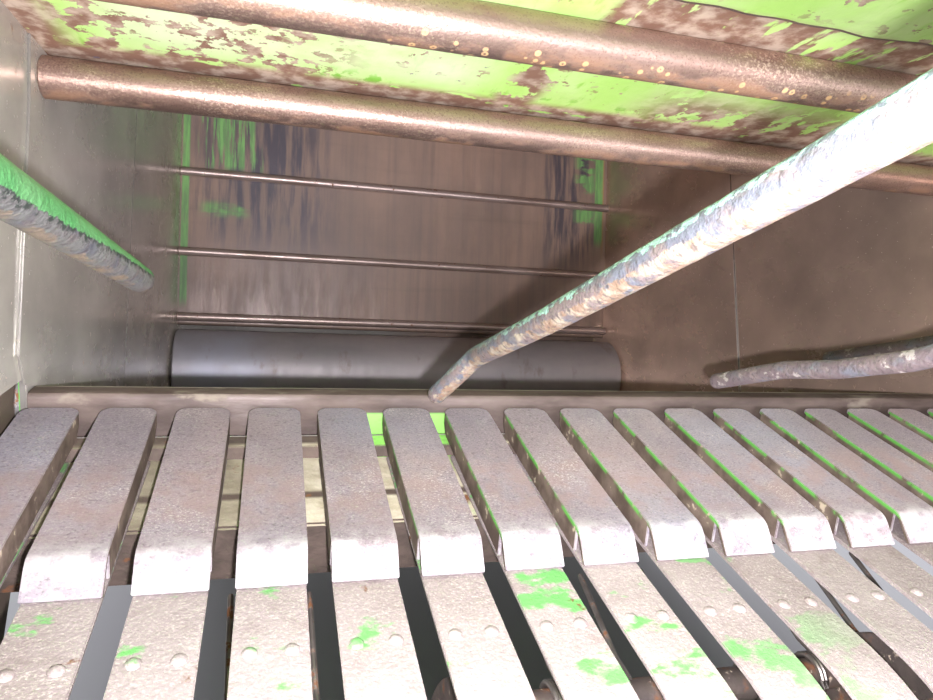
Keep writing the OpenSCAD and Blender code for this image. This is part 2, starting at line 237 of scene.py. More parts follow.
def coated(name, colour, roughness, metallic, layers=(), bumps=(), strength=None):
    """A material from a ground finish and layers of (mask, colour, roughness, metallic) over it.

    bumps are (height, depth in metres).
    strength is a number that all the colours are multiplied by."""
    material, tree = new_material(name)
    finish = [socket(tree, value) for value in (colour, roughness, metallic)]
    for mask, *over in layers:
        mask = socket(tree, mask)
        finish = [mix(tree, mask, under, socket(tree, value)) for under, value in zip(finish, over)]
    colour, roughness, metallic = finish
    if strength is not None:
        inputs = {0: 1, 6: colour, 7: socket(tree, strength)}
        colour = add(tree, "ShaderNodeMix", inputs, data_type="RGBA", blend_type="MULTIPLY").outputs[2]
    normal = {}
    for height, depth in bumps:
        inputs = {"Height": socket(tree, height), "Distance": depth, "Strength": 1, **normal}
        normal = {"Normal": add(tree, "ShaderNodeBump", inputs).outputs[0]}
    shader = add(tree, "ShaderNodeBsdfPrincipled", {
        "Base Color": colour, "Roughness": roughness, "Metallic": metallic, **normal,
    })
    add(tree, "ShaderNodeOutputMaterial", {"Surface": shader.outputs[0]})
    return material


def clouds(scale, low=0.3, high=0.7, stretch=(1, 1, 1), detail=5, roughness=0.6, start=0, end=1):
    """A mask or a number made from noise, cut between low and high."""
    return lambda tree: between(
        tree, grain(tree, coords(tree, stretch), scale, detail, roughness), low, high, start, end
    )


def shades(mask, a, b):
    """A colour or a number that goes from a to b with the mask."""
    return lambda tree: mix(tree, mask(tree), socket(tree, a), socket(tree, b))


def joined(operation, masks):
    def made(tree):
        value = masks[0](tree)
        for mask in masks[1:]:
            value = maths(tree, operation, value, mask(tree))
        return value
    return made


def both(*masks):
    """Where all the masks are, or the product of numbers."""
    return joined("MULTIPLY", masks)


def either(*masks):
    """Where any of the masks is."""
    return joined("MAXIMUM", masks)


def window(tree, value, rise, fall):
    """Rises to one over the first stretch of value and falls back over the second."""
    return maths(tree, "MULTIPLY", between(tree, value, *rise), between(tree, value, *fall, 1, 0))


def span(name, low, high, soft=0.01):
    """A mask from low to high along X, Y or Z in metres, with soft ends."""
    return lambda tree: window(tree, axis(tree, name), (low - soft, low + soft), (high - soft, high + soft))


def along(name, low, high, start, end):
    """A number that goes from start to end along X, Y or Z in metres."""
    return lambda tree: between(tree, axis(tree, name), low, high, start, end)


def turned(name, low, high):
    """A mask that rises while the surface's facing along X, Y or Z goes from low to high."""
    return lambda tree: between(tree, facing(tree, name), low, high)


DUST = (0.5, 0.4, 0.28)
RUST = (0.2, 0.085, 0.035)
GREEN = (0.075, 0.33, 0.035)
DARK_STEEL, WARM_STEEL = (0.23, 0.165, 0.125), (0.43, 0.3, 0.22)
GREY_STEEL, PALE_STEEL = (0.36, 0.335, 0.285), (0.6, 0.56, 0.47)


def rusty(*cut, **more):
    """A layer of rust where this noise is."""
    return clouds(*cut, **more), RUST, 0.8, 0.1


def scratches(stretch, scale=3):
    """Fine parallel scratches, as a height."""
    return clouds(scale, 0.35, 0.65, stretch, detail=8, roughness=0.7)


def patch(x0, x1, y0, y1, soft=0.02):
    """A mask over this rectangle, seen from above, in metres."""
    return both(span("X", x0, x1, soft), span("Y", y0, y1, soft))


def near_seam(tree):
    """A mask on both sides of the joint between the liner's sheets."""
    off = maths(tree, "SUBTRACT", axis(tree, "Y"), maths(tree, "MULTIPLY", axis(tree, "Z"), SEAM_LEAN))
    off = maths(tree, "SUBTRACT", off, (seam_at(ORIGIN_Z) - ORIGIN_Y) / 1000)
    return between(tree, maths(tree, "ABSOLUTE", off), 0.003, 0.005, 1, 0)


# Painted reflection: a faint green patch on the left liner stands in for green paint seen in the polished
# steel.
painted_green_reflection = both(
    span("X", -0.605, -0.59), span("Y", -0.35, -0.03, 0.1), span("Z", 0.06, 0.4, 0.05),
    clouds(5, 0.5, 0.66, (1, 1, 1.6), detail=3),
)
right_half = along("X", -0.1, 0.1, 0, 1)
wall_wear = coated(
    "crop_polished_wall",
    shades(
        right_half,
        shades(clouds(3.2, 0.3, 0.72, detail=7), GREY_STEEL, PALE_STEEL),
        shades(clouds(3.2, 0.3, 0.72, detail=7), DARK_STEEL, WARM_STEEL),
    ),
    clouds(9, 0.3, 0.7, (1, 1, 2), start=0.17, end=0.3),
    0.32,
    layers=[
        (painted_green_reflection, (0.3, 0.44, 0.19), 0.5, 0.1),
        (both(clouds(60, 0.62, 0.68, end=0.7), clouds(4, 0.5, 0.62)), (0.24, 0.13, 0.075), 0.7, 0.1),
        (clouds(140, 0.7, 0.74, detail=2), (0.42, 0.34, 0.27), 0.6, 0.2),
        # Painted highlight: a pale line along the seam between the liner's sheets, low on the right wall.
        (both(near_seam, span("X", 0.5, 0.65), span("Z", -0.1, 0.16, 0.06),
              clouds(50, 0.3, 0.42, (1, 1, 0.3))), (0.6, 0.54, 0.47), 0.35, 0.5),
    ],
    bumps=[(scratches((1, 1.5, 30)), 0.00005), (clouds(35), 0.00006)],
    # Painted light and shade: the right wall is lighter towards the back, both walls are lighter low down,
    # and faces turned to the front or rear are darker.
    strength=both(
        shades(right_half, 1.1, along("Y", -0.95, -0.25, 1, 1.7)),
        along("Z", -0.14, 0.12, 1.5, 1),
        lambda tree: between(tree, maths(tree, "ABSOLUTE", facing(tree, "Y")), 0.4, 0.9, 1, 0.35),
    ),
)


def paint_coat(name, paint=GREEN, dusty=0.5, chips=0.62, dirty_inside=0):
    """Weathered machine paint: faded, streaked by rain, chipped to rust, with dust on top and mud low down.

    Within dirty_inside metres of the middle it is worn brown."""
    faded = tuple(min(1, c * 1.22 + 0.025) for c in paint)
    grimy = tuple(c * 0.55 + 0.012 for c in paint)
    chipped = 26, chips, chips + 0.03
    return coated(
        name,
        shades(clouds(6, 0.3, 0.75, detail=9, roughness=0.72), paint, faded),
        clouds(14, start=0.38, end=0.6),
        0,
        layers=[
            (clouds(5, 0.46, 0.78, (7, 7, 0.6), detail=8, end=0.55), grimy, 0.62, 0),
            (both(along("Z", -0.52, -0.12, 0.85, 0), clouds(16, 0.38, 0.62, detail=9)), DUST, 0.9, 0),
            rusty(*chipped, detail=6),
            (span("X", -dirty_inside, dirty_inside, 0.0005), (0.13, 0.095, 0.065), 0.7, 0.1),
            (both(turned("Z", 0.2, 0.95), clouds(7, 0.62 - 0.3 * dusty, 0.75, detail=8)), DUST, 0.9, 0),
        ],
        bumps=[(clouds(*chipped, detail=6, start=1, end=0), 0.00025), (clouds(160), 0.0001)],
    )


frame_paint = paint_coat("frame_paint")


def closed(bm):
    bmesh.ops.recalc_face_normals(bm, faces=bm.faces)
    return bm


def side_solid(outline, x0, x1, edge=1):
    """A plate or bar with this outline in [along, up] points, from x0 to x1, its edges broken by edge."""
    bm = bmesh.new()
    ends = [[bm.verts.new(at(x, y, z)) for y, z in outline] for x in (x0, x1)]
    bm.faces.new(ends[0])
    bm.faces.new(ends[1])
    for i in range(len(outline)):
        j = (i + 1) % len(outline)
        bm.faces.new((ends[0][i], ends[0][j], ends[1][j], ends[1][i]))
    closed(bm)
    if edge:
        break_edges(bm, edge)
    return bm


def break_edges(bm, edge, sharper_than=30):
    """Bevels every edge sharper than this many degrees."""
    sharp = [e for e in bm.edges if e.calc_face_angle(0) > math.radians(sharper_than)]
    bmesh.ops.bevel(bm, geom=sharp, offset=edge / 1000, segments=2, affect="EDGES", clamp_overlap=True)


def join_in(bm, other):
    """Adds another bmesh to bm."""
    mesh = bpy.data.meshes.new("part")
    other.to_mesh(mesh)
    other.free()
    bm.from_mesh(mesh)
    bpy.data.meshes.remove(mesh)
    return bm


def as_object(bm, name):
    """Puts the bmesh in the scene as an object."""
    mesh = bpy.data.meshes.new(name)
    bm.to_mesh(mesh)
    bm.free()
    return linked(name, mesh)


SMOOTH_TO = math.radians(35)


def show(bm, name, body, material, replaces=()):
    """Makes the mesh a piece that rides on this body and stands for these frame nodes."""
    for face in bm.faces:
        face.smooth = True
    for e in bm.edges:
        e.smooth = e.calc_face_angle(0) < SMOOTH_TO
    piece = as_object(bm, name)
    piece.data.materials.append(material)
    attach(piece, body)
    if replaces:
        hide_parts(*replaces)
    return piece


def paint_outside(piece, material, faces_out):
    """Gives the faces for which faces_out is true another material."""
    piece.data.materials.append(material)
    for polygon in piece.data.polygons:
        if faces_out(polygon):
            polygon.material_index = len(piece.data.materials) - 1


side_outline = [
    (-212, 420), (REAR_Y, 90), (REAR_Y, ROOF_Z), (-95, ROOF_Z), (-110, ceiling_at(-110) + 45),
    (-600, ceiling_at(-600) + 45), (-600, 578), (-212, 578),
]
LINER_FRONT, LINER_BEND, SEAM_FOOT, SEAM_GAP = (-226, 574), (296, 418), (228, 438.4), 1
front_liner = [
    (-231, 592), LINER_FRONT, (SEAM_FOOT[0] - SEAM_GAP, SEAM_FOOT[1]), (seam_at(ROOF_Z) - SEAM_GAP, ROOF_Z),
    (-90, ROOF_Z), (-90, ceiling_at(-90) - 1), (-164, ceiling_at(-164) - 1), (-173, 850), (-237, 607),
]
rear_liner = [
    (SEAM_FOOT[0] + SEAM_GAP, SEAM_FOOT[1]), LINER_BEND,
    (REAR_Y, LINER_BEND[1] - (REAR_Y - LINER_BEND[0]) * FLOOR_SLOPE),
    (REAR_Y, ROOF_Z), (seam_at(ROOF_Z) + SEAM_GAP, ROOF_Z),
]
for side, sign in (("left", -1), ("right", 1)):
    wall = show(
        side_solid(side_outline, sign * SIDE_X, sign * OUTER_X, 1.2),
        side + "_side_plate", "frame", wall_wear, [side + "_side_wall"],
    )
    paint_outside(wall, frame_paint, lambda p: p.center.x * sign * 1000 > OUTER_X - 2)
    sheets = join_in(
        side_solid(front_liner, sign * HALF_W, sign * (SIDE_X - 0.05), 0.8),
        side_solid(rear_liner, sign * HALF_W, sign * (SIDE_X - 0.05), 0.8),
    )
    show(sheets, side + "_wear_liner", "frame", wall_wear, [side + "_liner"])


# Back plate: one 5 mm sheet with a slight bend, rubbed into upright streaks by the
# crop, with green left along its side edges and near the top. Three 22 mm bars run
# across it and guide the crop down to the roller.
BACK_TOP, BACK_MID, BACK_LOW = (994.8, 965), (926, 648), (881, 433)
BACK_T, BACK_BAR_R = 5, 11


def back_at(z):
    end = BACK_TOP if z > BACK_MID[1] else BACK_LOW
    return BACK_MID[0] + (z - BACK_MID[1]) * (end[0] - BACK_MID[0]) / (end[1] - BACK_MID[1])


def rounded(points, radius, steps=6):
    """The line through these points, flat or in space, with its corners rounded."""
    points = [Vector(p) for p in points]
    line = [points[0]]
    for before, corner, after in zip(points, points[1:], points[2:]):
        a, b = (before - corner).normalized(), (after - corner).normalized()
        cut = radius / math.tan(a.angle(b) / 2)
        start, end = corner + a * cut, corner + b * cut
        for i in range(steps + 1):
            line.append(start.lerp(corner, i / steps).lerp(corner.lerp(end, i / steps), i / steps))
    return line + [points[-1]]


def resampled(line, step):
    """The same line with no stretch longer than step."""
    made = [line[0]]
    for a, b in zip(line, line[1:]):
        count = max(1, math.ceil((b - a).length / step))
        made += [a.lerp(b, i / count) for i in range(1, count + 1)]
    return made


def bent_sheet(path, x0, x1, thickness, wave=0, wave_size=260, step=30, seed=0,
               edge_wave=0, rim=0, trim=None):
    """A sheet whose seen face follows path, with its thickness to the path's left, a little wavy.

    edge_wave makes the path's first edge ragged, and rim gives a strip of this width there the second
    material. trim gives what is cut off both sides at a point."""
    line = resampled([Vector(p) for p in path], step)
    if rim:
        line.insert(1, line[0] + (line[1] - line[0]).normalized() * rim)
    columns = max(2, math.ceil(abs(x1 - x0) / step))
    bm = bmesh.new()
    rows = []
    for i, point in enumerate(line):
        tangent = (line[min(i + 1, len(line) - 1)] - line[max(i - 1, 0)]).normalized()
        left = Vector((-tangent.y, tangent.x))
        row = []
        cut = trim(point) if trim else 0
        for c in range(columns + 1):
            x = x0 + cut + (x1 - x0 - 2 * cut) * c / columns
            spot = Vector((x, point.x * 1.3, point.y)) / wave_size + Vector((seed, seed, seed))
            lift = wave * noise.noise(spot) * min(1, min(i, len(line) - 1 - i) / 2, min(c, columns - c) / 2)
            slip = edge_wave * noise.noise(Vector((x / 55, seed, 0))) if i < (2 if rim else 1) else 0
            seen = point + left * lift + tangent * slip
            row.append([bm.verts.new(at(x, *(seen + left * d))) for d in (0, thickness)])
        rows.append(row)
    for a, b in zip(rows, rows[1:]):
        for p, q, r, s in zip(a, a[1:], b[1:], b):
            both_sides = bm.faces.new((p[0], q[0], r[0], s[0])), bm.faces.new((p[1], s[1], r[1], q[1]))
            for face in both_sides:
                face.material_index = 1 if rim and a is rows[0] else 0
        for p, q, r, s in ((a[0], b[0], b[0], a[0]), (a[-1], b[-1], b[-1], a[-1])):
            bm.faces.new((p[0], q[0], r[1], s[1]))
    for row in (rows[0], rows[-1]):
        for p, q in zip(row, row[1:]):
            bm.faces.new((p[0], q[0], q[1], p[1]))
    return closed(bm)


def skinned(rings, is_ring=False):
    """A mesh over rings of points, with flat ends, or closed on itself when is_ring."""
    bm = bmesh.new()
    rings = [[bm.verts.new(point) for point in ring] for ring in rings]
    for near, far in zip(rings, rings[1:] + rings[:1] if is_ring else rings[1:]):
        for i in range(len(near)):
            j = (i + 1) % len(near)
            bm.faces.new((near[i], near[j], far[j], far[i]))
    if not is_ring:
        bm.faces.new(rings[0])
        bm.faces.new(rings[-1])
    return closed(bm)


def bar(centre, radius, x0, x1, segments=64, chamfer=1.5):
    """A round bar across the machine, its ends chamfered."""
    rings = [(x0, radius - chamfer), (x0 + chamfer, radius), (x1 - chamfer, radius), (x1, radius - chamfer)]
    return turned_part(centre, rings, segments)


def turned_part(centre, profile, segments=64):
    """A part turned about an axis across the machine, from (x, radius) points.

    A profile that ends where it starts makes a ring; any other is closed by flat ends."""
    is_ring = profile[0] == profile[-1]
    angles = [math.tau * i / segments for i in range(segments)]
    return skinned([
        [at(x, centre[0] + radius * math.cos(a), centre[1] + radius * math.sin(a)) for a in angles]
        for x, radius in (profile[:-1] if is_ring else profile)
    ], is_ring)


left_strip, right_strip = span("X", -0.597, -0.58, 0.002), span("X", 0.562, 0.588, 0.003)
comb_teeth = both(
    span("X", -0.56, -0.4), span("Z", 0.285, 0.5), clouds(14, 0.46, 0.56, (5, 1, 0.3), detail=6),
)
left_lobe = both(
    span("X", -0.545, -0.44, 0.02), span("Z", 0.165, 0.195, 0.012), clouds(14, 0.36, 0.56, (0.8, 1, 2)),
)
right_lobe = both(
    span("X", 0.5, 0.565, 0.016), either(span("Z", 0.31, 0.43), span("Z", 0.22, 0.27, 0.006)),
    clouds(15, 0.44, 0.54, (1, 1, 2.5), detail=6),
)
back_green = either(
    both(left_strip, span("Z", -0.06, 0.5, 0.02), clouds(8, 0.3, 0.4, (0.6, 1, 0.8))),
    both(right_strip, span("Z", 0.16, 0.5, 0.02), clouds(12, 0.34, 0.42, (0.6, 1, 0.8))),
    comb_teeth, left_lobe, right_lobe,
)
dark_streaks = both(
    clouds(5, 0.4, 0.6, (9, 1, 0.9), detail=8, end=0.85), span("Z", 0.1, 0.6, 0.08),
    either(span("X", -0.56, -0.24, 0.08), span("X", 0.4, 0.56, 0.04)),
)
back_wear = coated(
    "crop_polished_back",
    shades(clouds(1.8, 0.32, 0.68, (1.3, 1, 0.8), detail=6),
           (0.205, 0.15, 0.116), (0.35, 0.235, 0.165)),
    clouds(9, 0.3, 0.7, (5, 5, 0.6), start=0.36, end=0.5),
    0.2,
    # Painted light and shade: the back plate is darker low down and lighter towards the top.
    strength=along("Z", -0.08, 0.36, 0.76, 1.3),
    layers=[
        (clouds(4, 0.4, 0.75, (14, 1, 0.4), detail=8, end=0.45), (0.17, 0.135, 0.112), 0.42, 0.3),
        (clouds(3, 0.5, 0.8, (0.6, 1, 14), detail=8, end=0.45), (0.2, 0.15, 0.11), 0.36, 0.3),
        (dark_streaks, (0.085, 0.082, 0.098), 0.34, 0.4),
        (both(span("X", 0.584, 0.592, 0.002), span("Z", 0.14, 0.5, 0.03)), (0.36, 0.2, 0.1), 0.6, 0.1),
        (both(back_green, clouds(30, 0.2, 0.5, (4, 1, 1), start=0.45, end=0.95)),
         shades(clouds(20, 0.4, 0.6, (6, 1, 0.5)), (0.13, 0.26, 0.09), (0.18, 0.4, 0.11)), 0.5, 0),
    ],
    bumps=[(scratches((30, 1, 0.7)), 0.00008)],
)
BACK_FOOT = (BACK_LOW[0] + 34, BACK_LOW[1] - 6)
back_path = resampled(rounded([BACK_TOP, BACK_MID, BACK_LOW, BACK_FOOT], 8), 30)
show(
    bent_sheet(back_path, -HALF_W, HALF_W, BACK_T, wave=1.2, wave_size=330),
    "chamber_back_plate", "frame", back_wear, ["back_plate"],
)

bar_wear = coated(
    "polished_bar",
    shades(clouds(14, 0.3, 0.7, (0.6, 3, 3), detail=7), (0.34, 0.25, 0.2), (0.52, 0.41, 0.35)),
    clouds(30, start=0.3, end=0.44),
    0.6,
    layers=[(clouds(60, 0.66, 0.72, detail=3), RUST, 0.7, 0.1)],
    bumps=[(clouds(120, 0.3, 0.7, (0.4, 1, 1)), 0.0001)],
)
bars = bmesh.new()
for z in (818, 619, 456):
    join_in(bars, bar((back_at(z) - BACK_BAR_R - 1, z), BACK_BAR_R, -HALF_W, HALF_W, 48))
show(bars, "chamber_back_bars", "frame", bar_wear, ["back_bars"])


# Chamber roller: a smooth 200 mm drum at the end of the floor, polished blue-grey,
# with bolted flange bearings outside the walls and its drive stub on the right.
ROLLER, ROLLER_R, ROLLER_SHAFT_R, DRIVE_STUB_R = (826, 330), 100, 20, 17.5
roller_wear = coated(
    "roller_steel",
    shades(clouds(3.5, 0.3, 0.7, (0.7, 2, 2), detail=6), (0.34, 0.315, 0.3), (0.46, 0.41, 0.38)),
    clouds(10, 0.3, 0.7, (4, 1, 1), start=0.52, end=0.62),
    0.5,
    layers=[
        # Painted highlight: a paler bluish patch at the roller's left end.
        (both(span("X", -0.62, -0.36, 0.12), clouds(5, 0.3, 0.6)), (0.4, 0.4, 0.43), 0.52, 0.5),
        (clouds(7, 0.6, 0.72, (2, 1, 1), detail=7), (0.28, 0.23, 0.2), 0.55, 0.4),
    ],
    bumps=[(scratches((45, 1, 1), 2), 0.0001)],
)
face, hub, STUB_L = HALF_W - 5, OUTER_X + 44, 60
roller = turned_part(ROLLER, [
    (-hub, ROLLER_SHAFT_R - 2), (-hub + 2, ROLLER_SHAFT_R), (-face, ROLLER_SHAFT_R),
    (-face, ROLLER_R - 3), (-face + 3, ROLLER_R), (face - 3, ROLLER_R), (face, ROLLER_R - 3),
    (face, ROLLER_SHAFT_R), (hub, ROLLER_SHAFT_R), (hub, DRIVE_STUB_R),
    (hub + STUB_L - 1.5, DRIVE_STUB_R), (hub + STUB_L, DRIVE_STUB_R - 1.5),
], 128)
show(roller, "smooth_roller", "roller", roller_wear, ["chamber_roller"])


# Chamber floor and sill: a 4 mm floor sheet that falls to the roller, and a rolled
# sill bar across the mouth, rusty brown with a pale edge worn by the crop.
SILL_Z, SHEET_T = 565, 4
floor_wear = coated(
    "floor_steel",
    shades(clouds(4, 0.3, 0.7, (1, 0.5, 1), detail=7), (0.12, 0.095, 0.085), (0.24, 0.18, 0.14)),
    clouds(9, 0.3, 0.7, (3, 0.6, 1), start=0.28, end=0.5),
    0.7,
    layers=[(clouds(18, 0.62, 0.7, detail=6), (0.34, 0.25, 0.16), 0.8, 0)],
    bumps=[(scratches((30, 0.8, 1)), 0.00012)],
)
floor_path = [(y, floor_at(y)) for y in (790, -208)]
show(
    bent_sheet(floor_path, -HALF_W, HALF_W, SHEET_T, wave=1, wave_size=300, seed=3),
    "chamber_floor", "frame", floor_wear, ["floor_sheet"],
)

sill_wear = coated(
    "sill_bar_wear",
    shades(clouds(16, 0.35, 0.65, (0.5, 2, 2), detail=8),
           (0.07, 0.047, 0.036), (0.13, 0.094, 0.074)),
    clouds(20, start=0.5, end=0.8),
    0.15,
    layers=[
        (clouds(30, 0.58, 0.7, (0.5, 1, 1), detail=8), (0.19, 0.155, 0.115), 0.85, 0),
        (both(turned("Z", 0.55, 0.95), span("Y", -1.1975, -1.18, 0.002),
              clouds(26, 0.34, 0.44, (0.3, 1, 1), detail=6)), (0.56, 0.5, 0.41), 0.55, 0.2),
        (both(turned("Y", -0.5, -0.9), span("X", -0.275, -0.15, 0.006), span("Z", -0.6, -0.007, 0.002),
              clouds(24, 0.3, 0.36)), (0.24, 0.54, 0.1), 0.5, 0),
    ],
    bumps=[(clouds(70, 0.3, 0.7, (0.3, 1, 1)), 0.0003)],
)
sill_outline = [(-222, 500), (-212, 500), (-212, FLOOR_START[1]), (-190, floor_at(-190)), (-190, SILL_Z - 6)]
sill_outline += [(-190 - 6 * (1 - math.cos(a)), SILL_Z - 6 + 6 * math.sin(a)) for a in (0.4, 0.8, 1.2, 1.57)]
sill_outline += [(-216, SILL_Z), (-219.5, SILL_Z - 1), (-221.5, SILL_Z - 3.5), (-222, SILL_Z - 7)]
show(side_solid(sill_outline, -HALF_W, HALF_W, 0), "mouth_sill", "frame", sill_wear,
     ["sill_bar"])


# Cross tubes: two 43 mm steel tubes over the mouth. The crop keeps them brown and
# bright; small rings of orange rust sit on the upper tube's underside.
def ring_spots(tree):
    """Small rings at scattered places."""
    scale, radius, width = 112, 0.24, 0.15
    cells = add(tree, "ShaderNodeTexVoronoi", {"Vector": coords(tree), "Scale": scale, "Randomness": 1})
    off = maths(tree, "ABSOLUTE", maths(tree, "SUBTRACT", cells.outputs["Distance"], radius))
    ring = between(tree, off, width * 0.5, width, 1, 0)
    chosen = add(tree, "ShaderNodeSeparateColor", {"Color": cells.outputs["Color"]}).outputs[0]
    return maths(tree, "MULTIPLY", ring, between(tree, chosen, 0.62, 0.66))


tube_wear = coated(
    "polished_tube",
    shades(clouds(10, 0.28, 0.72, (0.5, 2, 2), detail=8), (0.32, 0.205, 0.155), (0.44, 0.31, 0.25)),
    clouds(45, 0.3, 0.7, (0.4, 1, 1), detail=8, start=0.33, end=0.44),
    0.8,
    layers=[
        (both(clouds(520, 0.5, 0.62, (0.8, 1, 1), detail=4, end=0.7), clouds(7, 0.35, 0.6)),
         (0.62, 0.46, 0.34), 0.5, 0.7),
        (clouds(430, 0.53, 0.64, detail=4, end=0.6), (0.15, 0.085, 0.055), 0.6, 0.4),
        (both(turned("Z", -0.3, -0.85), clouds(40, 0.46, 0.62, (0.5, 1, 1), detail=7, end=0.7)),
         (0.3, 0.155, 0.075), 0.7, 0.1),
        (both(ring_spots, turned("Z", -0.2, -0.7), patch(-0.28, 0.24, -1.41, -1.34),
              clouds(30, 0.2, 0.5, start=0.3, end=0.9)), (0.62, 0.38, 0.17), 0.7, 0),
    ],
    bumps=[(clouds(260, 0.3, 0.7, (0.7, 1, 1)), 0.00012)],
    strength=along("X", -0.35, 0.15, 0.76, 1.04),
)
for name, centre, end in (("lower", LOWER_TUBE, HALF_W), ("upper", UPPER_TUBE, SIDE_X)):
    show(bar(centre, TUBE_R, -end, end, 96), name + "_mouth_tube", "frame", tube_wear,
         [name + "_cross_tube"])


# Ceiling, hood and roof: 4 mm sheets in lime green. The ceiling slopes up to the front
# and turns up behind the lower tube; the hood laps under it with a wavy edge. Crop has
# rubbed the paint off in brown patches, most of all at the left and along the tube.
LAP_Y = -436
tube_line = both(span("Y", -1.15, -1.06, 0.012), clouds(22, 0.385, 0.415, (0.6, 1.6, 1), detail=10))
left_end = both(patch(-0.66, -0.565, -1.4, -1.05), clouds(20, 0.38, 0.41, detail=10))
left_patches = both(patch(-0.6, -0.3, -1.34, -1.05, 0.05), clouds(42, 0.515, 0.535, detail=10))
middle_streak = both(
    patch(-0.12, -0.07, -1.3, -1.08, 0.012), clouds(30, 0.47, 0.5, (1, 0.5, 1), detail=10),
)
right_patch = both(
    patch(0.07, 0.46, -1.23, -1.05, 0.05), clouds(20, 0.445, 0.475, (1.6, 0.8, 1), detail=10),
)
lap_band = both(patch(-0.09, 0.62, -1.437, -1.36, 0.01), clouds(18, 0.39, 0.43, (2, 0.5, 1), detail=10))
lap_streaks = both(
    patch(-0.22, -0.04, -1.45, -1.36), clouds(26, 0.555, 0.585, (1.6, 0.4, 1), detail=9),
)
scattered = both(clouds(52, 0.6, 0.62, detail=9), clouds(5, 0.44, 0.6))
worn_through = either(
    tube_line, left_end, left_patches, middle_streak, right_patch, lap_band, lap_streaks, scattered,
)
drips = both(patch(-0.42, 0.15, -1.17, -1.07), clouds(34, 0.56, 0.62, (1, 0.6, 1), detail=6))
ceiling_paint = coated(
    "ceiling_lime",
    shades(clouds(7, 0.35, 0.7, (2, 0.8, 1)), (0.54, 0.91, 0.2), (0.7, 0.95, 0.36)),
    clouds(18, start=0.34, end=0.52),
    0,
    layers=[
        (clouds(30, 0.58, 0.72, (2.5, 0.5, 1), detail=6), (0.36, 0.78, 0.09), 0.4, 0),
        # Painted highlight: a whitish patch in the middle of the ceiling, where the lamp beside the lens is
        # reflected.
        (both(patch(-0.52, -0.16, -1.34, -1.17, 0.05), clouds(6, 0.2, 0.6, end=0.75)),
         (0.9, 0.97, 0.68), 0.35, 0),
        (drips, (0.2, 0.62, 0.03), 0.45, 0),
        (worn_through, shades(
            clouds(44, 0.4, 0.66, detail=9), (0.3, 0.165, 0.105), (0.66, 0.52, 0.38)), 0.65, 0.1),
        (both(clouds(27, 0.67, 0.69, (1, 1.6, 1)), span("X", -0.6, -0.1, 0.1)),
         (0.26, 0.2, 0.24), 0.5, 0.3),
    ],
    bumps=[(clouds(90), 0.00015)],
    # Painted shade: the hood and the ceiling's front are darker, most of all towards the front.
    strength=along("Y", -1.46, -1.34, 0.52, 0.92),
)
ceiling_path = rounded([(-600, ceiling_at(-600)), (-90, ceiling_at(-90)), (-90, ROOF_Z)], 12)
ceiling = show(
    bent_sheet(ceiling_path, -SIDE_X, SIDE_X, SHEET_T, wave=2, wave_size=240, step=25, seed=7),
    "mouth_ceiling", "frame", ceiling_paint, ["ceiling_sheet"],
)
paint_outside(ceiling, frame_paint, lambda p: p.normal.z > 0.3 or p.normal.y > 0.5)
hood_path = rounded([
    (-690, ceiling_at(-600) + 90), (-640, ceiling_at(-640) - SHEET_T - 0.1),
    (LAP_Y, ceiling_at(LAP_Y) - SHEET_T - 0.1),
], 60)
# The hood's lapped edge is a 3 mm strip of dark floor steel: rust, and a painted shadow of the gap under the
# ceiling.
hood = bent_sheet(hood_path[::-1], -SIDE_X, SIDE_X, SHEET_T, wave=1, step=14, seed=11,
                  edge_wave=9, rim=3)
hood = show(hood, "front_hood_sheet", "frame", ceiling_paint, ["front_hood"])
hood.data.materials.append(floor_wear)
paint_outside(hood, frame_paint, lambda p: p.normal.z > 0.3 and p.material_index == 0)


# Deck slats: seventeen bent steel channels that carry the crop up to the mouth. They
# are bolted to the rail and the beam below; their tops are worn to dusty purple-brown
# steel with pale flecks, and green paint is left on their flanks.
SLAT_COUNT, PITCH, SLAT_GAP, BAND_GAP = 17, 72, 18.5, 20
SLAT_HALF, BAND_HALF = (PITCH - SLAT_GAP) / 2, (PITCH - BAND_GAP) / 2
MOUTH, KNEE, NOSE = (-230, 552), (-464, 510.74), (-482, 487)
DECK_SLOPE = math.tan(math.radians(10))
FLANGE_H, FLANGE_T, CORNER_R = 24, 3, 12
slat_x = [PITCH * (i - (SLAT_COUNT - 1) / 2) for i in range(SLAT_COUNT)]


def deck_at(y):
    return MOUTH[1] + (y - MOUTH[0]) * DECK_SLOPE


def geometry_tree(name, **inputs):
    """A Geometry Nodes tree with Geometry and Material inputs, and inputs of these kinds."""
    tree = bpy.data.node_groups.new(name, "GeometryNodeTree")
    tree.interface.new_socket("Geometry", in_out="OUTPUT", socket_type="NodeSocketGeometry")
    for label, kind in {"Geometry": "Geometry", "Material": "Material", **inputs}.items():
        tree.interface.new_socket(label, in_out="INPUT", socket_type="NodeSocket" + kind)
    return tree, tree.nodes.new("NodeGroupInput").outputs


def realized(tree, given, instances):
    """Ends the tree: the instances made real, in its material."""
    real = add(tree, "GeometryNodeRealizeInstances", {"Geometry": instances}).outputs[0]
    coat = add(tree, "GeometryNodeSetMaterial", {"Geometry": real, "Material": given["Material"]}).outputs[0]
    tree.links.new(coat, tree.nodes.new("NodeGroupOutput").inputs[0])


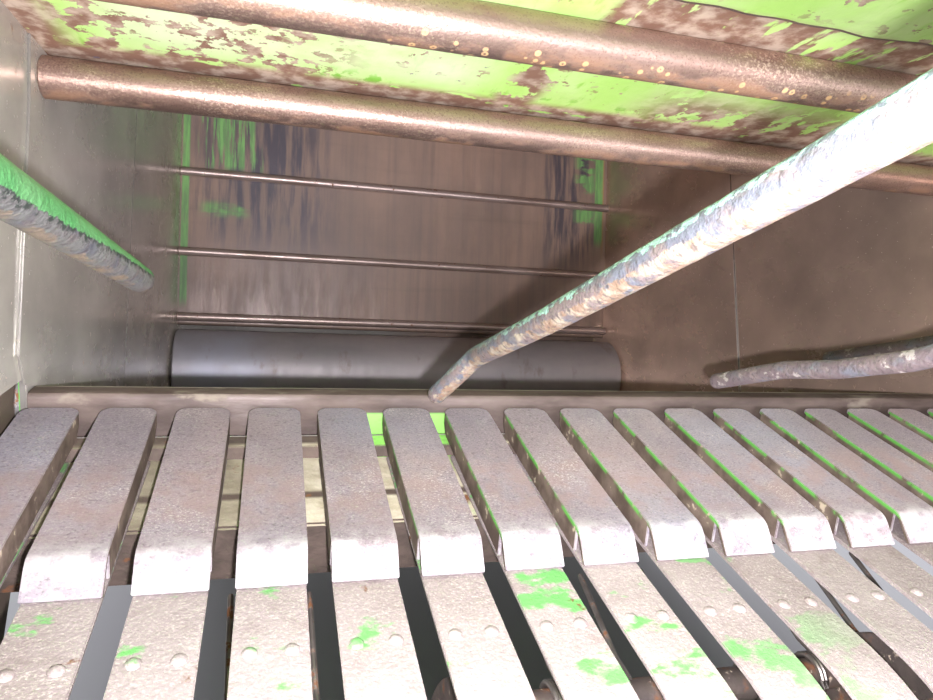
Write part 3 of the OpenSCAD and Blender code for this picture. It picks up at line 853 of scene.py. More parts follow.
def grown(bm, tree, **sizes):
    """What this Geometry Nodes tree makes of the mesh, as a plain mesh."""
    holder = as_object(bm, "seed")
    modifier = holder.modifiers.new("grow", "NODES")
    modifier.node_group = tree
    for item in tree.interface.items_tree:
        if item.name in sizes:
            modifier[item.identifier] = sizes[item.name]
    graph = bpy.context.evaluated_depsgraph_get()
    made = bpy.data.meshes.new_from_object(holder.evaluated_get(graph), depsgraph=graph)
    bpy.data.meshes.remove(holder.data)
    result = bmesh.new()
    result.from_mesh(made)
    bpy.data.meshes.remove(made)
    for face in result.faces:
        face.material_index = 0
    return result


def row_along_x(tree, given, instance, **extra):
    """Instances in a row across the machine, from the inputs Count, Pitch and Start."""
    offset = add(tree, "ShaderNodeCombineXYZ", {"X": given["Pitch"]}).outputs[0]
    start = add(tree, "ShaderNodeCombineXYZ", {"X": given["Start"]}).outputs[0]
    sizes = {"Count": given["Count"], "Start Location": start, "Offset": offset}
    line = add(tree, "GeometryNodeMeshLine", sizes).outputs[0]
    inputs = {"Points": line, "Instance": instance, **extra}
    return add(tree, "GeometryNodeInstanceOnPoints", inputs).outputs[0]


row_tree, given = geometry_tree("sheet_row", Count="Int", Pitch="Float", Start="Float")
realized(row_tree, given, row_along_x(row_tree, given, given["Geometry"]))


slat_wear = coated(
    "worn_slat_steel",
    shades(
        clouds(6, 0.3, 0.7, (1, 0.6, 1), detail=8),
        (0.34, 0.282, 0.305),
        shades(clouds(2.5, 0.35, 0.65), (0.4, 0.385, 0.445), (0.48, 0.355, 0.34)),
    ),
    clouds(25, start=0.45, end=0.66),
    0.2,
    layers=[
        (clouds(520, 0.5, 0.64, (1, 1.2, 1), detail=4, end=0.5), (0.62, 0.54, 0.5), 0.8, 0),
        (clouds(420, 0.52, 0.68, (0.7, 1, 1), end=0.55), (0.15, 0.11, 0.12), 0.5, 0.3),
        (both(span("Y", -1.44, -1.34, 0.03), clouds(30, 0.4, 0.62, detail=7, end=0.6)),
         (0.44, 0.3, 0.27), 0.6, 0.2),
        (both(span("Y", -1.6, -1.452, 0.012), clouds(60, 0.36, 0.6, detail=7, end=0.7)),
         (0.66, 0.61, 0.57), 0.7, 0),
        (both(clouds(12, 0.48, 0.66), clouds(600, 0.56, 0.64, (0.7, 1.2, 1), detail=3, end=0.8)),
         (0.78, 0.7, 0.62), 0.8, 0),
    ],
    bumps=[(clouds(420), 0.0001), (clouds(9, 0.2, 0.8), 0.001)],
    # Painted light and shade: the slats are darker to the left, lighter to the right, and darker at the
    # knees.
    strength=both(along("X", -0.4, 0.32, 0.58, 1.24), along("Y", -1.5, -1.36, 0.72, 1)),
)


def below_deck(low, high):
    """A mask that fades out from low to high metres under the slats' top."""
    def made(tree):
        in_from_mouth = maths(tree, "ADD", axis(tree, "Y"), (ORIGIN_Y - MOUTH[0]) / 1000)
        deck = maths(tree, "MULTIPLY", in_from_mouth, DECK_SLOPE)
        deck = maths(tree, "ADD", deck, (MOUTH[1] - ORIGIN_Z) / 1000)
        return between(tree, maths(tree, "SUBTRACT", deck, axis(tree, "Z")), low, high, 1, 0)
    return made


flank_paint = coated(
    "slat_flank_paint",
    shades(clouds(30, 0.35, 0.65), (0.11, 0.075, 0.055), (0.22, 0.16, 0.12)),
    0.65,
    0.1,
    layers=[
        (both(span("X", -0.26, 0.65, 0.1), below_deck(0.002, 0.006), clouds(26, 0.42, 0.52, detail=8)),
         (0.13, 0.42, 0.07), 0.5, 0),
        (clouds(60, 0.62, 0.68), DUST, 0.9, 0),
    ],
    bumps=[(clouds(90), 0.0002)],
)


def slat_trim(point):
    """Rounds a slat's two rear corners."""
    into = max(0, point.x - (MOUTH[0] - CORNER_R))
    return CORNER_R - math.sqrt(max(0, CORNER_R ** 2 - into ** 2))


slat_path = rounded([NOSE, KNEE, MOUTH], 20)
rear_steps = [Vector((MOUTH[0] - d, deck_at(MOUTH[0] - d))) for d in (CORNER_R, 8, 5, 3, 1.5, 0.6, 0)]
slat_path = resampled(slat_path[:-1] + rear_steps[:1], 40) + rear_steps[1:]
slat = bent_sheet(slat_path[::-1], -SLAT_HALF, SLAT_HALF, SHEET_T, step=60, trim=slat_trim)
break_edges(slat, 1.1, 40)
flange = [(MOUTH[0] - 10, deck_at(MOUTH[0] - 10) - 2.5)]
flange += [(MOUTH[0] - 10 - d, deck_at(MOUTH[0] - 10) - FLANGE_H + 10 - d) for d in (0, 3)]
flange += [(MOUTH[0] - 22, deck_at(MOUTH[0] - 22) - FLANGE_H), (KNEE[0] + 6, deck_at(KNEE[0] + 6) - FLANGE_H)]
flange += [(KNEE[0] + 6, deck_at(KNEE[0] + 6) - 2.5)]
for sign in (-1, 1):
    join_in(slat, side_solid(flange, sign * (SLAT_HALF - FLANGE_T), sign * (SLAT_HALF - 0.05), 0.6))

slat_row = {"Count": SLAT_COUNT, "Pitch": PITCH / 1000, "Start": slat_x[0] / 1000}
slats = grown(slat, row_tree, Material=slat_wear, **slat_row)
slat_piece = show(slats, "pickup_deck_slats", "pickup", slat_wear, ["deck_slats"])


def on_flank(polygon):
    """True for the upright sides of the slats' flanges."""
    return abs(polygon.normal.x) > 0.7 and polygon.center.y < at(0, MOUTH[0] - 9, 0).y


paint_outside(slat_piece, flank_paint, on_flank)


# Rail and beam under the slats: a flat rail at the mouth and a folded beam that
# carries slats and stripper bands. What falls between the slats lies on them as tan
# dust, with lime paint showing where it has slid away.
BAND_SLOPE = math.tan(math.radians(7.5))
PLATE_X, PLATE_T, ARM_T = OUTER_X + 7, 8, 12
ARM_X = PLATE_X + PLATE_T


def band_at(y):
    return 483 + (y + 484) * BAND_SLOPE


on_top, chamber_wide = turned("Z", 0.3, 0.9), span("X", -0.6, 0.6, 0.004)
dust_grain = clouds(40, detail=8)
beam_dust = coated(
    "dusty_beam_paint",
    shades(clouds(12, 0.35, 0.65, (1, 3, 1)), (0.1, 0.36, 0.045), (0.18, 0.48, 0.08)),
    0.55,
    0,
    layers=[
        (chamber_wide, shades(clouds(30), (0.075, 0.055, 0.04), (0.14, 0.1, 0.075)), 0.8, 0.1),
        (both(on_top, chamber_wide, span("Y", -1.39, -1.262, 0.004)),
         shades(along("X", -0.42, -0.3, 0, 1),
                shades(dust_grain, (0.2, 0.165, 0.105), (0.3, 0.26, 0.17)),
                shades(dust_grain, (0.4, 0.34, 0.22), (0.6, 0.53, 0.38))), 0.9, 0),
        (both(on_top, span("X", -0.275, -0.15, 0.006), span("Y", -1.268, -1.247, 0.001)),
         (0.3, 0.7, 0.13), 0.6, 0),
        (both(span("X", -0.16, 0.6, 0.1), on_top, clouds(16, 0.52, 0.6, (1.2, 1, 1), detail=7)),
         (0.16, 0.38, 0.07), 0.6, 0),
        (both(span("Y", -1.345, -1.334, 0.003), on_top), (0.1, 0.07, 0.05), 0.8, 0.1),
        (both(span("Y", -1.2465, -1.24, 0.001), on_top), (0.6, 0.56, 0.5), 0.4, 0.5),
        rusty(24, 0.62, 0.68, detail=7),
    ],
    bumps=[(clouds(110), 0.0004)],
)
rail_outline = [
    (-268, deck_at(-268) - FLANGE_H - 0.1), (-244, deck_at(-244) - FLANGE_H - 0.1),
    (-244, band_at(-244) - SHEET_T), (-268, band_at(-268) - SHEET_T),
]
show(side_solid(rail_outline, -HALF_W - 2, HALF_W + 2, 0.8),
     "deck_front_rail", "pickup", beam_dust, ["deck_rail"])
beam_outline = [
    (-390, band_at(-390) - SHEET_T - 0.1), (-244, band_at(-244) - SHEET_T - 0.1), (-244, 425), (-345, 415),
]
show(side_solid(beam_outline, -PLATE_X, PLATE_X, 3),
     "pickup_folded_beam", "pickup", beam_dust, ["pickup_beam"])


# Stripper bands: seventeen 4 mm sheets bent round the reel, with slots of 20 mm where
# the tines come through. Each is fixed to the beam above and the bar below by round
# bolts; the crop has worn them to dusty grey-brown steel.
REEL, BAND_R = (-574, 280), 190
BAND_START, BAND_END, BAND_TONGUE, BAND_TAIL = 97.5, 285, 326, 230


def polar(radius, degrees, centre=(0, 0)):
    """The point at this radius and angle from centre, in [along, up]."""
    angle = math.radians(degrees)
    return Vector(centre) + Vector((radius * math.cos(angle), radius * math.sin(angle)))


def kept_green(tree):
    """Where the bands' lower half keeps its paint, under a torn edge."""
    torn = maths(tree, "MULTIPLY", grain(tree, coords(tree, (1, 0.6, 0.6)), 16, 10, 0.75), 0.5)
    return between(tree, maths(tree, "ADD", axis(tree, "Z"), torn), -0.03, -0.022, 1, 0)


band_wear = coated(
    "worn_band_steel",
    shades(clouds(5, detail=8), (0.33, 0.26, 0.235), (0.47, 0.39, 0.36)),
    clouds(25, start=0.5, end=0.75),
    0.15,
    layers=[
        (clouds(420, 0.5, 0.66, (1, 1.3, 1), end=0.6), (0.66, 0.57, 0.48), 0.85, 0),
        (clouds(34, 0.52, 0.74, detail=9, end=0.55), (0.27, 0.2, 0.175), 0.8, 0.1),
        (both(clouds(13, 0.56, 0.62, (1, 1.6, 1.6), detail=6), turned("Z", 0.1, 0.4),
              span("X", -0.6, 0.05, 0.1)), (0.16, 0.44, 0.12), 0.5, 0),
        (kept_green, (0.12, 0.4, 0.06), 0.5, 0),
        rusty(30, 0.66, 0.72, detail=6),
    ],
    bumps=[(clouds(260, detail=6), 0.0003), (clouds(10, 0.2, 0.8), 0.0012)],
    # Painted shade: the bands are darkened, most of all to the left.
    strength=along("X", -0.45, 0, 0.58, 0.86),
)
band_path = [polar(BAND_R, BAND_START + (BAND_END - BAND_START) * i / 40, REEL) for i in range(41)]
band_path.insert(0, band_path[0] + polar(BAND_TONGUE, BAND_START - 90))
band_path.append(band_path[-1] + polar(BAND_TAIL, BAND_END + 90))
band = bent_sheet(band_path[::-1], -BAND_HALF, BAND_HALF, -SHEET_T, step=100)
break_edges(band, 0.8, 40)
bands = grown(band, row_tree, Material=band_wear, **slat_row)
show(bands, "reel_stripper_bands", "pickup", band_wear, ["stripper_bands"])


# Crop guard: a 60 mm tube between the two arms with four bent round bars welded on.
# The bars' tops keep their green paint; below, the crop has worn them to grey steel
# with rust, and each bar is worn and bent in its own way.
GUARD_PIVOT, GUARD_TUBE_R, GUARD_BAR_R, PIN_R = (-940, 886), 30, 12, 20
GUARD_BARS = [  # wear off the radius, then points across, along and up
    (0, [(-479, -700, 790), (-479, -311, 696)]),
    (1.5, [(-163, -501, 705), (-164, -318, 633), (-187, -262, 578)]),
    (2.5, [(157, -530, 686), (157, -455, 660), (157, -385, 642), (157, -280, 602)]),
    (1.5, [(474, -260, 650), (474, -119, 600)]),
]


def swept(path, radius, segments=32, dents=0, dome=5):
    """A round bar along a path in space, with a domed end."""
    path = [Vector(p) for p in path]
    end = (path[-1] - path[-2]).normalized()
    stations = [(p, radius) for p in path]
    for i in range(1, dome + 1):
        turn = math.pi / 2 * i / dome
        stations.append((path[-1] + end * radius * math.sin(turn), radius * max(math.cos(turn), 0.02)))
    turns = [math.tau * k / segments for k in range(segments)]
    rings = []
    for i, (point, r) in enumerate(stations):
        tangent = (stations[min(i + 1, len(stations) - 1)][0] - stations[max(i - 1, 0)][0]).normalized()
        across = tangent.cross(Vector((0, 0, 1))).normalized()
        up = across.cross(tangent)
        ring = []
        for turn in turns:
            spoke = across * math.cos(turn) + up * math.sin(turn)
            dent = dents * noise.noise((point + spoke * 8) / 22)
            ring.append(at(*(point + spoke * (r - abs(dent) * r / radius))))
        rings.append(ring)
    return skinned(rings)


TORN_SOFT = 0.05


def torn_facing(tree, ragged, scale, detail, roughness):
    """How far the bar faces up, with torn steps between its heights."""
    torn = maths(tree, "SUBTRACT", grain(tree, coords(tree, (1, 0.7, 1)), scale, detail, roughness), 0.5)
    return maths(tree, "ADD", facing(tree, "Z"), maths(tree, "MULTIPLY", torn, ragged * 2))


def from_top(low, high, ragged, scale=55):
    """A mask between two amounts of facing up, with torn edges."""
    return lambda tree: window(
        tree, torn_facing(tree, ragged, scale, 8, 0.7), (low, low + TORN_SOFT), (high, high + TORN_SOFT),
    )


def above_edge(drop, ragged=0.42):
    """Where the left bar faces up more than a torn edge that climbs toward its tip."""
    def made(tree):
        edge = between(tree, axis(tree, "Y"), -1.7, -1.33, -0.5 - drop, 0.25 - drop)
        value = torn_facing(tree, ragged, 150, 9, 0.8)
        return between(tree, maths(tree, "SUBTRACT", value, edge), 0, TORN_SOFT)
    return made


left_bar, centre_bar, right_bars = span("X", -0.6, -0.35), span("X", -0.35, 0), span("X", 0, 0.7)
left_paint = both(left_bar, above_edge(0))
flecks = both(
    centre_bar, from_top(0.15, 2, 0.8), clouds(190, 0.46, 0.51, (1, 0.6, 1), detail=8),
    along("Y", -1.32, -1.48, 0.25, 1),
)
guard_wear = coated(
    "worn_guard_bar",
    shades(clouds(45, 0.42, 0.58, (1, 0.6, 1), detail=8), (0.3, 0.31, 0.35), (0.44, 0.34, 0.31)),
    clouds(40, start=0.42, end=0.66),
    0.2,
    # Painted shade: all bars are darkened, the left and centre bars most of all towards their roots, nearest
    # the lamp beside the lens.
    strength=shades(along("X", -0.3, -0.05, 0, 1), along("Y", -1.76, -1.3, 0.13, 0.42), 0.62),
    layers=[
        (both(right_bars, clouds(60, 0.3, 0.6, (1, 0.6, 1))), (0.31, 0.235, 0.235), 0.6, 0.2),
        (both(right_bars, clouds(90, 0.58, 0.64, (1, 0.6, 1))), (0.66, 0.58, 0.52), 0.7, 0),
        (both(left_bar, clouds(50, 0.3, 0.6)), (0.42, 0.42, 0.37), 0.6, 0.1),
        (both(centre_bar, from_top(-2, -0.4, 0.7, 60),
              clouds(75, 0.42, 0.52, (1, 0.5, 1), detail=9)),
         shades(clouds(90, 0.4, 0.6, detail=8), (0.72, 0.6, 0.44), (0.52, 0.34, 0.22)), 0.75, 0.1),
        (both(left_bar, from_top(-2, -0.86, 0.4, 60),
              clouds(40, 0.46, 0.6, (1, 0.5, 1), detail=9)), (0.56, 0.42, 0.27), 0.75, 0.1),
        (clouds(190, 0.54, 0.66, detail=6, end=0.7), (0.17, 0.14, 0.13), 0.8, 0.2),
        (both(centre_bar, from_top(0.35, 2, 0.35)), (0.28, 0.31, 0.35), 0.5, 0.3),
        (flecks, (0.56, 0.88, 0.72), 0.45, 0),
        (both(left_bar, above_edge(0.2, 0.9), clouds(120, 0.4, 0.52, detail=6)),
         (0.1, 0.13, 0.1), 0.55, 0.2),
        (left_paint,
         shades(clouds(18, 0.35, 0.65), (0.22, 0.8, 0.24), (0.34, 0.88, 0.32)), 0.42, 0),
    ],
    bumps=[(left_paint, 0.0003), (clouds(170, detail=8), 0.0006)],
)


def bead(centre, axis_to, radius, thickness):
    """A rough weld bead: a ring round an axis, lumpy from its passes."""
    steps, around = 40, 10
    axis_to = axis_to.normalized()
    u = axis_to.cross(Vector((1, 0, 0))).normalized()
    v = axis_to.cross(u)
    turns = [math.tau * k / around for k in range(around)]
    rings = []
    for i in range(steps):
        a = math.tau * i / steps
        spoke = u * math.cos(a) + v * math.sin(a)
        fat = thickness * (1 + 0.18 * math.sin(i * 2.6) + 0.2 * noise.noise(spoke * 3 + centre / 40))
        rings.append([
            at(*(centre + spoke * (radius + fat * math.cos(b)) + axis_to * fat * math.sin(b))) for b in turns
        ])
    return skinned(rings, True)


guard_bars, welds = bmesh.new(), bmesh.new()
for wear, points in GUARD_BARS:
    root = Vector((points[0][0], *GUARD_PIVOT))
    toward = (Vector(points[0]) - root).normalized()
    first = root + toward * (GUARD_TUBE_R - 3)
    line = resampled(rounded([first] + points, 60 if len(points) == 4 else 30), 12)
    join_in(guard_bars, swept(line, GUARD_BAR_R - wear, dents=0.6))
    join_in(welds, bead(root + toward * (GUARD_TUBE_R - 0.5), toward, GUARD_BAR_R - wear, 4))
show(guard_bars, "crop_guard_bars", "crop_guard", guard_wear, ["guard_tines"])


# Outer frame: posts, beams and cross members of folded and rolled steel, with the roof
# and the rear cover. All are sprayed green, faded and chipped, and dusty on top. The
# rear posts carry the four bolt holes of the machine's main frame.
def painted(node, material):
    """Gives a node of the frame, whose shape is right, this material."""
    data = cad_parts[node].data
    data.materials.clear()
    data.materials.append(material)


for node in ("left_rear_post", "right_rear_post", "left_front_post", "right_front_post"):
    painted(node, frame_paint)
beam = side_solid([(930, 470), (REAR_Y, 470), (REAR_Y, 560), (930, 560)], -HALF_W, HALF_W, 6)
beam = show(beam, "rear_box_beam", "frame", frame_paint, ["rear_beam"])
under = SHEET_T + 2
for name, y0, y1, z0, z1 in (("front", -60, 40, 370, 370), ("rear", 560, 660, 205, 180)):
    outline = [(y0, z0), (y1, z1), (y1, floor_at(y1) - under), (y0, floor_at(y0) - under)]
    show(side_solid(outline, -SIDE_X, SIDE_X, 5), name + "_box_member", "frame", frame_paint,
         [name + "_cross_member"])
cover = show(bent_sheet([(940, 470), (940, 200)], -HALF_W, HALF_W, SHEET_T, wave=1),
             "rear_closing_sheet", "frame", frame_paint, ["rear_cover"])
for piece in (beam, cover):
    paint_outside(piece, wall_wear, lambda p: p.normal.y < -0.5)
roof_path = [(-95, ROOF_Z), (REAR_Y, ROOF_Z)]
roof_sheet = bent_sheet(roof_path, -OUTER_X, OUTER_X, SHEET_T, wave=1.5, wave_size=420)
roof = show(roof_sheet, "chamber_roof_sheet", "frame", frame_paint, ["chamber_roof"])
paint_outside(roof, wall_wear, lambda p: p.normal.z < -0.5)


# Bolts: hexagon heads on plain washers outside, dull zinc and rust. Each pattern of
# bolts is set on its plate with a head turned as it was left by the spanner.
def turned_head(profile, segments):
    """A head or washer about +Z from (radius, height) points, in millimetres."""
    turns = [math.tau * i / segments for i in range(segments)]
    return skinned([
        [Vector((radius * math.cos(a), radius * math.sin(a), height)) / 1000 for a in turns]
        for radius, height in profile
    ])


def hex_bolt(across):
    """A hexagon head this far across its flats, with a washer under it."""
    r, height, base = across / math.sqrt(3), across * 0.42, 1.8
    head = turned_head([(r, base), (r, base + height * 0.8), (r * 0.9, base + height)], 6)
    washer = turned_head([(across * 0.62, -0.5), (across * 0.62, 1.6), (across * 0.58, base)], 20)
    return join_in(head, washer)


def round_bolt(radius):
    """A low domed head."""
    dome = (radius * 0.8, 2.2), (radius * 0.45, 3.2), (1, 3.5)
    return turned_head([(radius, -0.5), (radius, 0.8), *dome], 16)


bolt_tree, given = geometry_tree("bolt_pattern", Head="Object", Facing="Vector", Seed="Int")
head_mesh = add(bolt_tree, "GeometryNodeObjectInfo", {"Object": given["Head"]}).outputs["Geometry"]
toward = add(bolt_tree, "FunctionNodeAlignRotationToVector", {"Vector": given["Facing"]}, axis="Z").outputs[0]
turn_range = {2: 0, 3: math.tau, "Seed": given["Seed"]}
angle = add(bolt_tree, "FunctionNodeRandomValue", turn_range, data_type="FLOAT").outputs[1]
twist = add(bolt_tree, "FunctionNodeAxisAngleToRotation", {"Axis": (0, 0, 1), "Angle": angle}).outputs[0]
turned_to = add(
    bolt_tree, "FunctionNodeRotateRotation", {"Rotation": toward, "Rotate By": twist}, rotation_space="LOCAL"
).outputs[0]
placed = add(bolt_tree, "GeometryNodeInstanceOnPoints", {
    "Points": given["Geometry"], "Instance": head_mesh, "Rotation": turned_to,
}).outputs[0]
realized(bolt_tree, given, placed)
zinc = coated(
    "dull_zinc",
    shades(clouds(60, 0.35, 0.65), (0.3, 0.29, 0.27), (0.46, 0.44, 0.4)),
    0.45,
    0.8,
    layers=[rusty(90, 0.5, 0.6)],
    bumps=[(clouds(260), 0.0002)],
)


def bolted(head, facing_to, spots, seed):
    """Heads at these places in millimetres, as one mesh without a finish."""
    holder = as_object(head, "head")
    seeds = bmesh.new()
    for spot in spots:
        seeds.verts.new(at(*spot))
    made = grown(seeds, bolt_tree, Material=zinc, Head=holder, Facing=facing_to, Seed=seed)
    bpy.data.meshes.remove(holder.data)
    return made


def side_bolts(*patterns):
    """Bolts on both sides of the machine, from (across flats, x, [along, up] places, seed)."""
    bolts = bmesh.new()
    for across, x, places, seed in patterns:
        for step, sign in enumerate((1, -1)):
            spots = [(sign * x, *place) for place in places]
            join_in(bolts, bolted(hex_bolt(across), (sign, 0, 0), spots, seed + step))
    return bolts


POST_T = 6
post_bolts = side_bolts(
    (19, OUTER_X + POST_T, [(-60, z) for z in (430, 560, 700, 850, 940)], 3),
    (19, OUTER_X + POST_T, [(955, z) for z in (150, 420, 690, 940)], 5),
    (17, OUTER_X, [(y, floor_at(y) - 30) for y in (120, 270, 420, 520)], 7),
)
show(post_bolts, "frame_bolts", "frame", zinc)


# Bar under the bands: a flat bar that ties the tails of the bands to the side plates,
# with a round bolt through every band here and a pair on top, in front of the slats.
plate_paint = paint_coat(
    "pickup_plate_paint", (0.13, 0.44, 0.05), dusty=0.8, chips=0.6, dirty_inside=PLATE_X / 1000 + 0.0005,
)
painted("band_lower_bar", plate_paint)
tail_up, tongue_up = polar(1, BAND_END), polar(1, BAND_START)
tail_bolt = Vector(REEL) + tail_up * BAND_R + polar(BAND_TAIL - 24, BAND_END + 90)
tail_bolts = bolted(round_bolt(9), (0, *tail_up), [(x, *tail_bolt) for x in slat_x], 11)
show(tail_bolts, "band_tail_bolts", "pickup", zinc)
TOP_BOLTS_Y, TOP_BOLTS_APART = -545, 28
band_bolts = bmesh.new()
for shift in (-TOP_BOLTS_APART / 2, TOP_BOLTS_APART / 2):
    spots = [(x + shift, TOP_BOLTS_Y, band_at(TOP_BOLTS_Y)) for x in slat_x]
    join_in(band_bolts, bolted(round_bolt(5.5), (0, *tongue_up), spots, 13))
show(band_bolts, "band_top_bolts", "pickup", band_wear)


# Reel: a 50 mm shaft with four discs, four tine bars through them, and sixteen spring
# tines on each bar. Each tine is one bent 6 mm wire with a coil on the bar and a
# straight leg that reaches out between two stripper bands.
SHAFT_R, SHAFT_END, DISC_R, DISC_T = 25, ARM_X + 13, 144, 8
TINE_BAR_R, BAR_CIRCLE_R, BAR_COUNT, BAR_TURN = 16, 118, 4, 30
TINE_TIP_R, WIRE_R = 250, 3
reel_wear = coated(
    "reel_steel",
    shades(clouds(8, detail=7), (0.1, 0.085, 0.075), (0.25, 0.19, 0.15)),
    clouds(20, start=0.35, end=0.6),
    0.6,
    layers=[rusty(30, 0.52, 0.64, detail=7), (clouds(90, 0.62, 0.7), DUST, 0.9, 0)],
    bumps=[(clouds(140), 0.0002)],
)
reel = bar(REEL, SHAFT_R, -SHAFT_END, SHAFT_END, chamfer=2)
for x in (20 - HALF_W, -PITCH * 3, PITCH * 3 - DISC_T, HALF_W - 20 - DISC_T):
    far = x + DISC_T
    join_in(reel, turned_part(REEL, [
        (x, 10), (x, DISC_R - 1), (x + 1, DISC_R), (far - 1, DISC_R), (far, DISC_R - 1), (far, 10),
    ], 96))
    join_in(reel, turned_part(REEL, [(x - 9, 27), (x - 6, 34), (far + 6, 34), (far + 9, 27)], 48))
show(reel, "reel_shaft_and_discs", "reel", reel_wear, ["reel_shaft"])
reel_bars = bmesh.new()
for i in range(BAR_COUNT):
    middle = polar(BAR_CIRCLE_R, 90 * i + BAR_TURN, REEL)
    join_in(reel_bars, bar(middle, TINE_BAR_R, 12 - HALF_W, HALF_W - 12, 40))
show(reel_bars, "reel_tine_bars", "reel", reel_wear, ["tine_bars"])

COIL_R, COIL_TURNS, COIL_HALF, COIL_STEPS = TINE_BAR_R + WIRE_R + 1, 2.5, 5, 16
bar_spot = polar(BAR_CIRCLE_R, BAR_TURN)
wire = []
for i in range(int(COIL_TURNS * COIL_STEPS) + 1):
    turn = i / COIL_STEPS
    spoke = polar(COIL_R, BAR_TURN + 90 + 360 * (turn - COIL_TURNS) - 30)
    wire.append(Vector((-COIL_HALF + 2 * COIL_HALF * turn / COIL_TURNS, *(bar_spot + spoke))))
tip = polar(TINE_TIP_R - WIRE_R, BAR_TURN)
knee_spot = polar(BAR_CIRCLE_R + 34, BAR_TURN) + polar(9, BAR_TURN + 90)
wire += rounded([wire[-1], Vector((COIL_HALF - 2, *knee_spot)), Vector((0, *tip))], 14, 4)[1:]
tine_wear = coated(
    "spring_tine_steel",
    shades(clouds(30), (0.24, 0.21, 0.18), (0.42, 0.37, 0.31)),
    0.36,
    0.85,
    layers=[(clouds(70, 0.55, 0.65, detail=6), RUST, 0.7, 0.2)],
)
tine_tree, given = geometry_tree(
    "reel_tines", Count="Int", Pitch="Float", Start="Float", Bars="Int", Axle="Vector",
)
lean = add(tine_tree, "FunctionNodeRandomValue", {2: -0.02, 3: 0.02, "Seed": 8}, data_type="FLOAT").outputs[1]
lean = add(tine_tree, "ShaderNodeCombineXYZ", {"X": lean}).outputs[0]
one_bar = row_along_x(tine_tree, given, given["Geometry"], Rotation=lean)
axle = add(tine_tree, "GeometryNodeMeshLine", {"Count": given["Bars"], "Start Location": given["Axle"]})
axle.inputs["Offset"].default_value = (0, 0, 0)
number = add(tine_tree, "GeometryNodeInputIndex").outputs[0]
turn = maths(tine_tree, "DIVIDE", maths(tine_tree, "MULTIPLY", number, math.tau), given["Bars"])
turn = add(tine_tree, "ShaderNodeCombineXYZ", {"X": turn}).outputs[0]
around = add(tine_tree, "GeometryNodeInstanceOnPoints", {
    "Points": axle.outputs[0], "Instance": one_bar, "Rotation": turn,
}).outputs[0]
realized(tine_tree, given, around)
tine = swept(wire, WIRE_R, 10, dome=2)
bmesh.ops.translate(tine, verts=tine.verts, vec=-at(0, 0, 0))
tines = grown(
    tine, tine_tree, Material=tine_wear, Count=SLAT_COUNT - 1, Pitch=PITCH / 1000,
    Start=(slat_x[0] + PITCH / 2) / 1000, Bars=BAR_COUNT, Axle=at(0, *REEL),
)
show(tines, "reel_spring_tines", "reel", tine_wear, ["reel_tines"])


# Pickup sides: 8 mm side plates that swing on pins at the sill, with the reel's
# bearings, the arms of the crop guard and the arms of the gauge wheels bolted on.
def link_outline(p, rp, q, rq, steps=24):
    """The outline round two circles, as of a flat arm."""
    p, q = Vector(p), Vector(q)
    heading = math.degrees(math.atan2(q.y - p.y, q.x - p.x))
    swing = math.degrees(math.acos((rp - rq) / (q - p).length))
    far = [p + polar(rp, heading + swing + (360 - 2 * swing) * i / steps) for i in range(steps + 1)]
    return far + [q + polar(rq, heading - swing + 2 * swing * i / steps) for i in range(steps + 1)]


def on_both_sides(centre, x, profile, segments=64):
    """A turned part on each side of the machine, from (distance out from x, radius) points."""
    both_sides = bmesh.new()
    for sign in (-1, 1):
        join_in(both_sides, turned_part(centre, [(sign * (x + d), r) for d, r in profile], segments))
    return both_sides


HINGE, WHEEL_AXLE, ARM_FOOT = (-174, 545), (-470, 200), (-560, 470)
ROLLER_BEARING_T, REEL_BEARING_T = 14, 6.5
for side in ("left", "right"):
    for part, paint in (("pickup_plate", plate_paint), ("guard_arm", plate_paint),
                        ("wheel_arm", frame_paint)):
        painted(side + "_" + part, paint)
cast_iron = coated(
    "cast_bearing",
    shades(clouds(18), (0.07, 0.065, 0.06), (0.16, 0.14, 0.12)),
    0.6,
    0.4,
    layers=[
        rusty(40, 0.56, 0.66, detail=6),
        (both(turned("Z", 0.2, 0.9), clouds(30, 0.4, 0.6)), DUST, 0.9, 0),
    ],
    bumps=[(clouds(260), 0.0004)],
)
flanges = bmesh.new()
flange_outline = link_outline((ROLLER[0], ROLLER[1] - 55), 20, (ROLLER[0], ROLLER[1] + 55), 20)
for sign in (-1, 1):
    join_in(flanges, side_solid(flange_outline, sign * OUTER_X, sign * (OUTER_X + ROLLER_BEARING_T), 2))
    join_in(flanges, turned_part(ROLLER, [
        (sign * (OUTER_X + d), r) for d, r in ((2, 48), (20, 48), (28, 42), (32, 34), (34, 32), (34, 23))
    ]))
show(flanges, "roller_flange_bearings", "frame", cast_iron, ["roller_bearings"])
bearings = on_both_sides(REEL, ARM_X, ((0, 60), (5, 60), (7, 57), (8, 40), (10, 37), (12, 35), (12, 27)))
show(bearings, "reel_flange_bearings", "pickup", cast_iron, ["reel_bearings"])
show(side_bolts((19, OUTER_X + ROLLER_BEARING_T, [(ROLLER[0], ROLLER[1] + d) for d in (-56, 56)], 15)),
     "roller_bearing_bolts", "frame", zinc)
along_arm = (Vector(GUARD_PIVOT) - Vector(ARM_FOOT)).normalized()
plate_bolts = side_bolts(
    (13, ARM_X + REEL_BEARING_T, [polar(49, angle, REEL) for angle in (30, 120, 210, 300)], 17),
    (19, ARM_X + ARM_T, [Vector(ARM_FOOT) + along_arm * d for d in (0, 70)], 19),
    (19, ARM_X + ARM_T, [(-400, 400), (-416, 356)], 21),
    (17, ARM_X, [(-300, 440), (-380, 450), (-300, 170), (-340, 140)], 23),
)
show(plate_bolts, "pickup_side_bolts", "pickup", zinc)

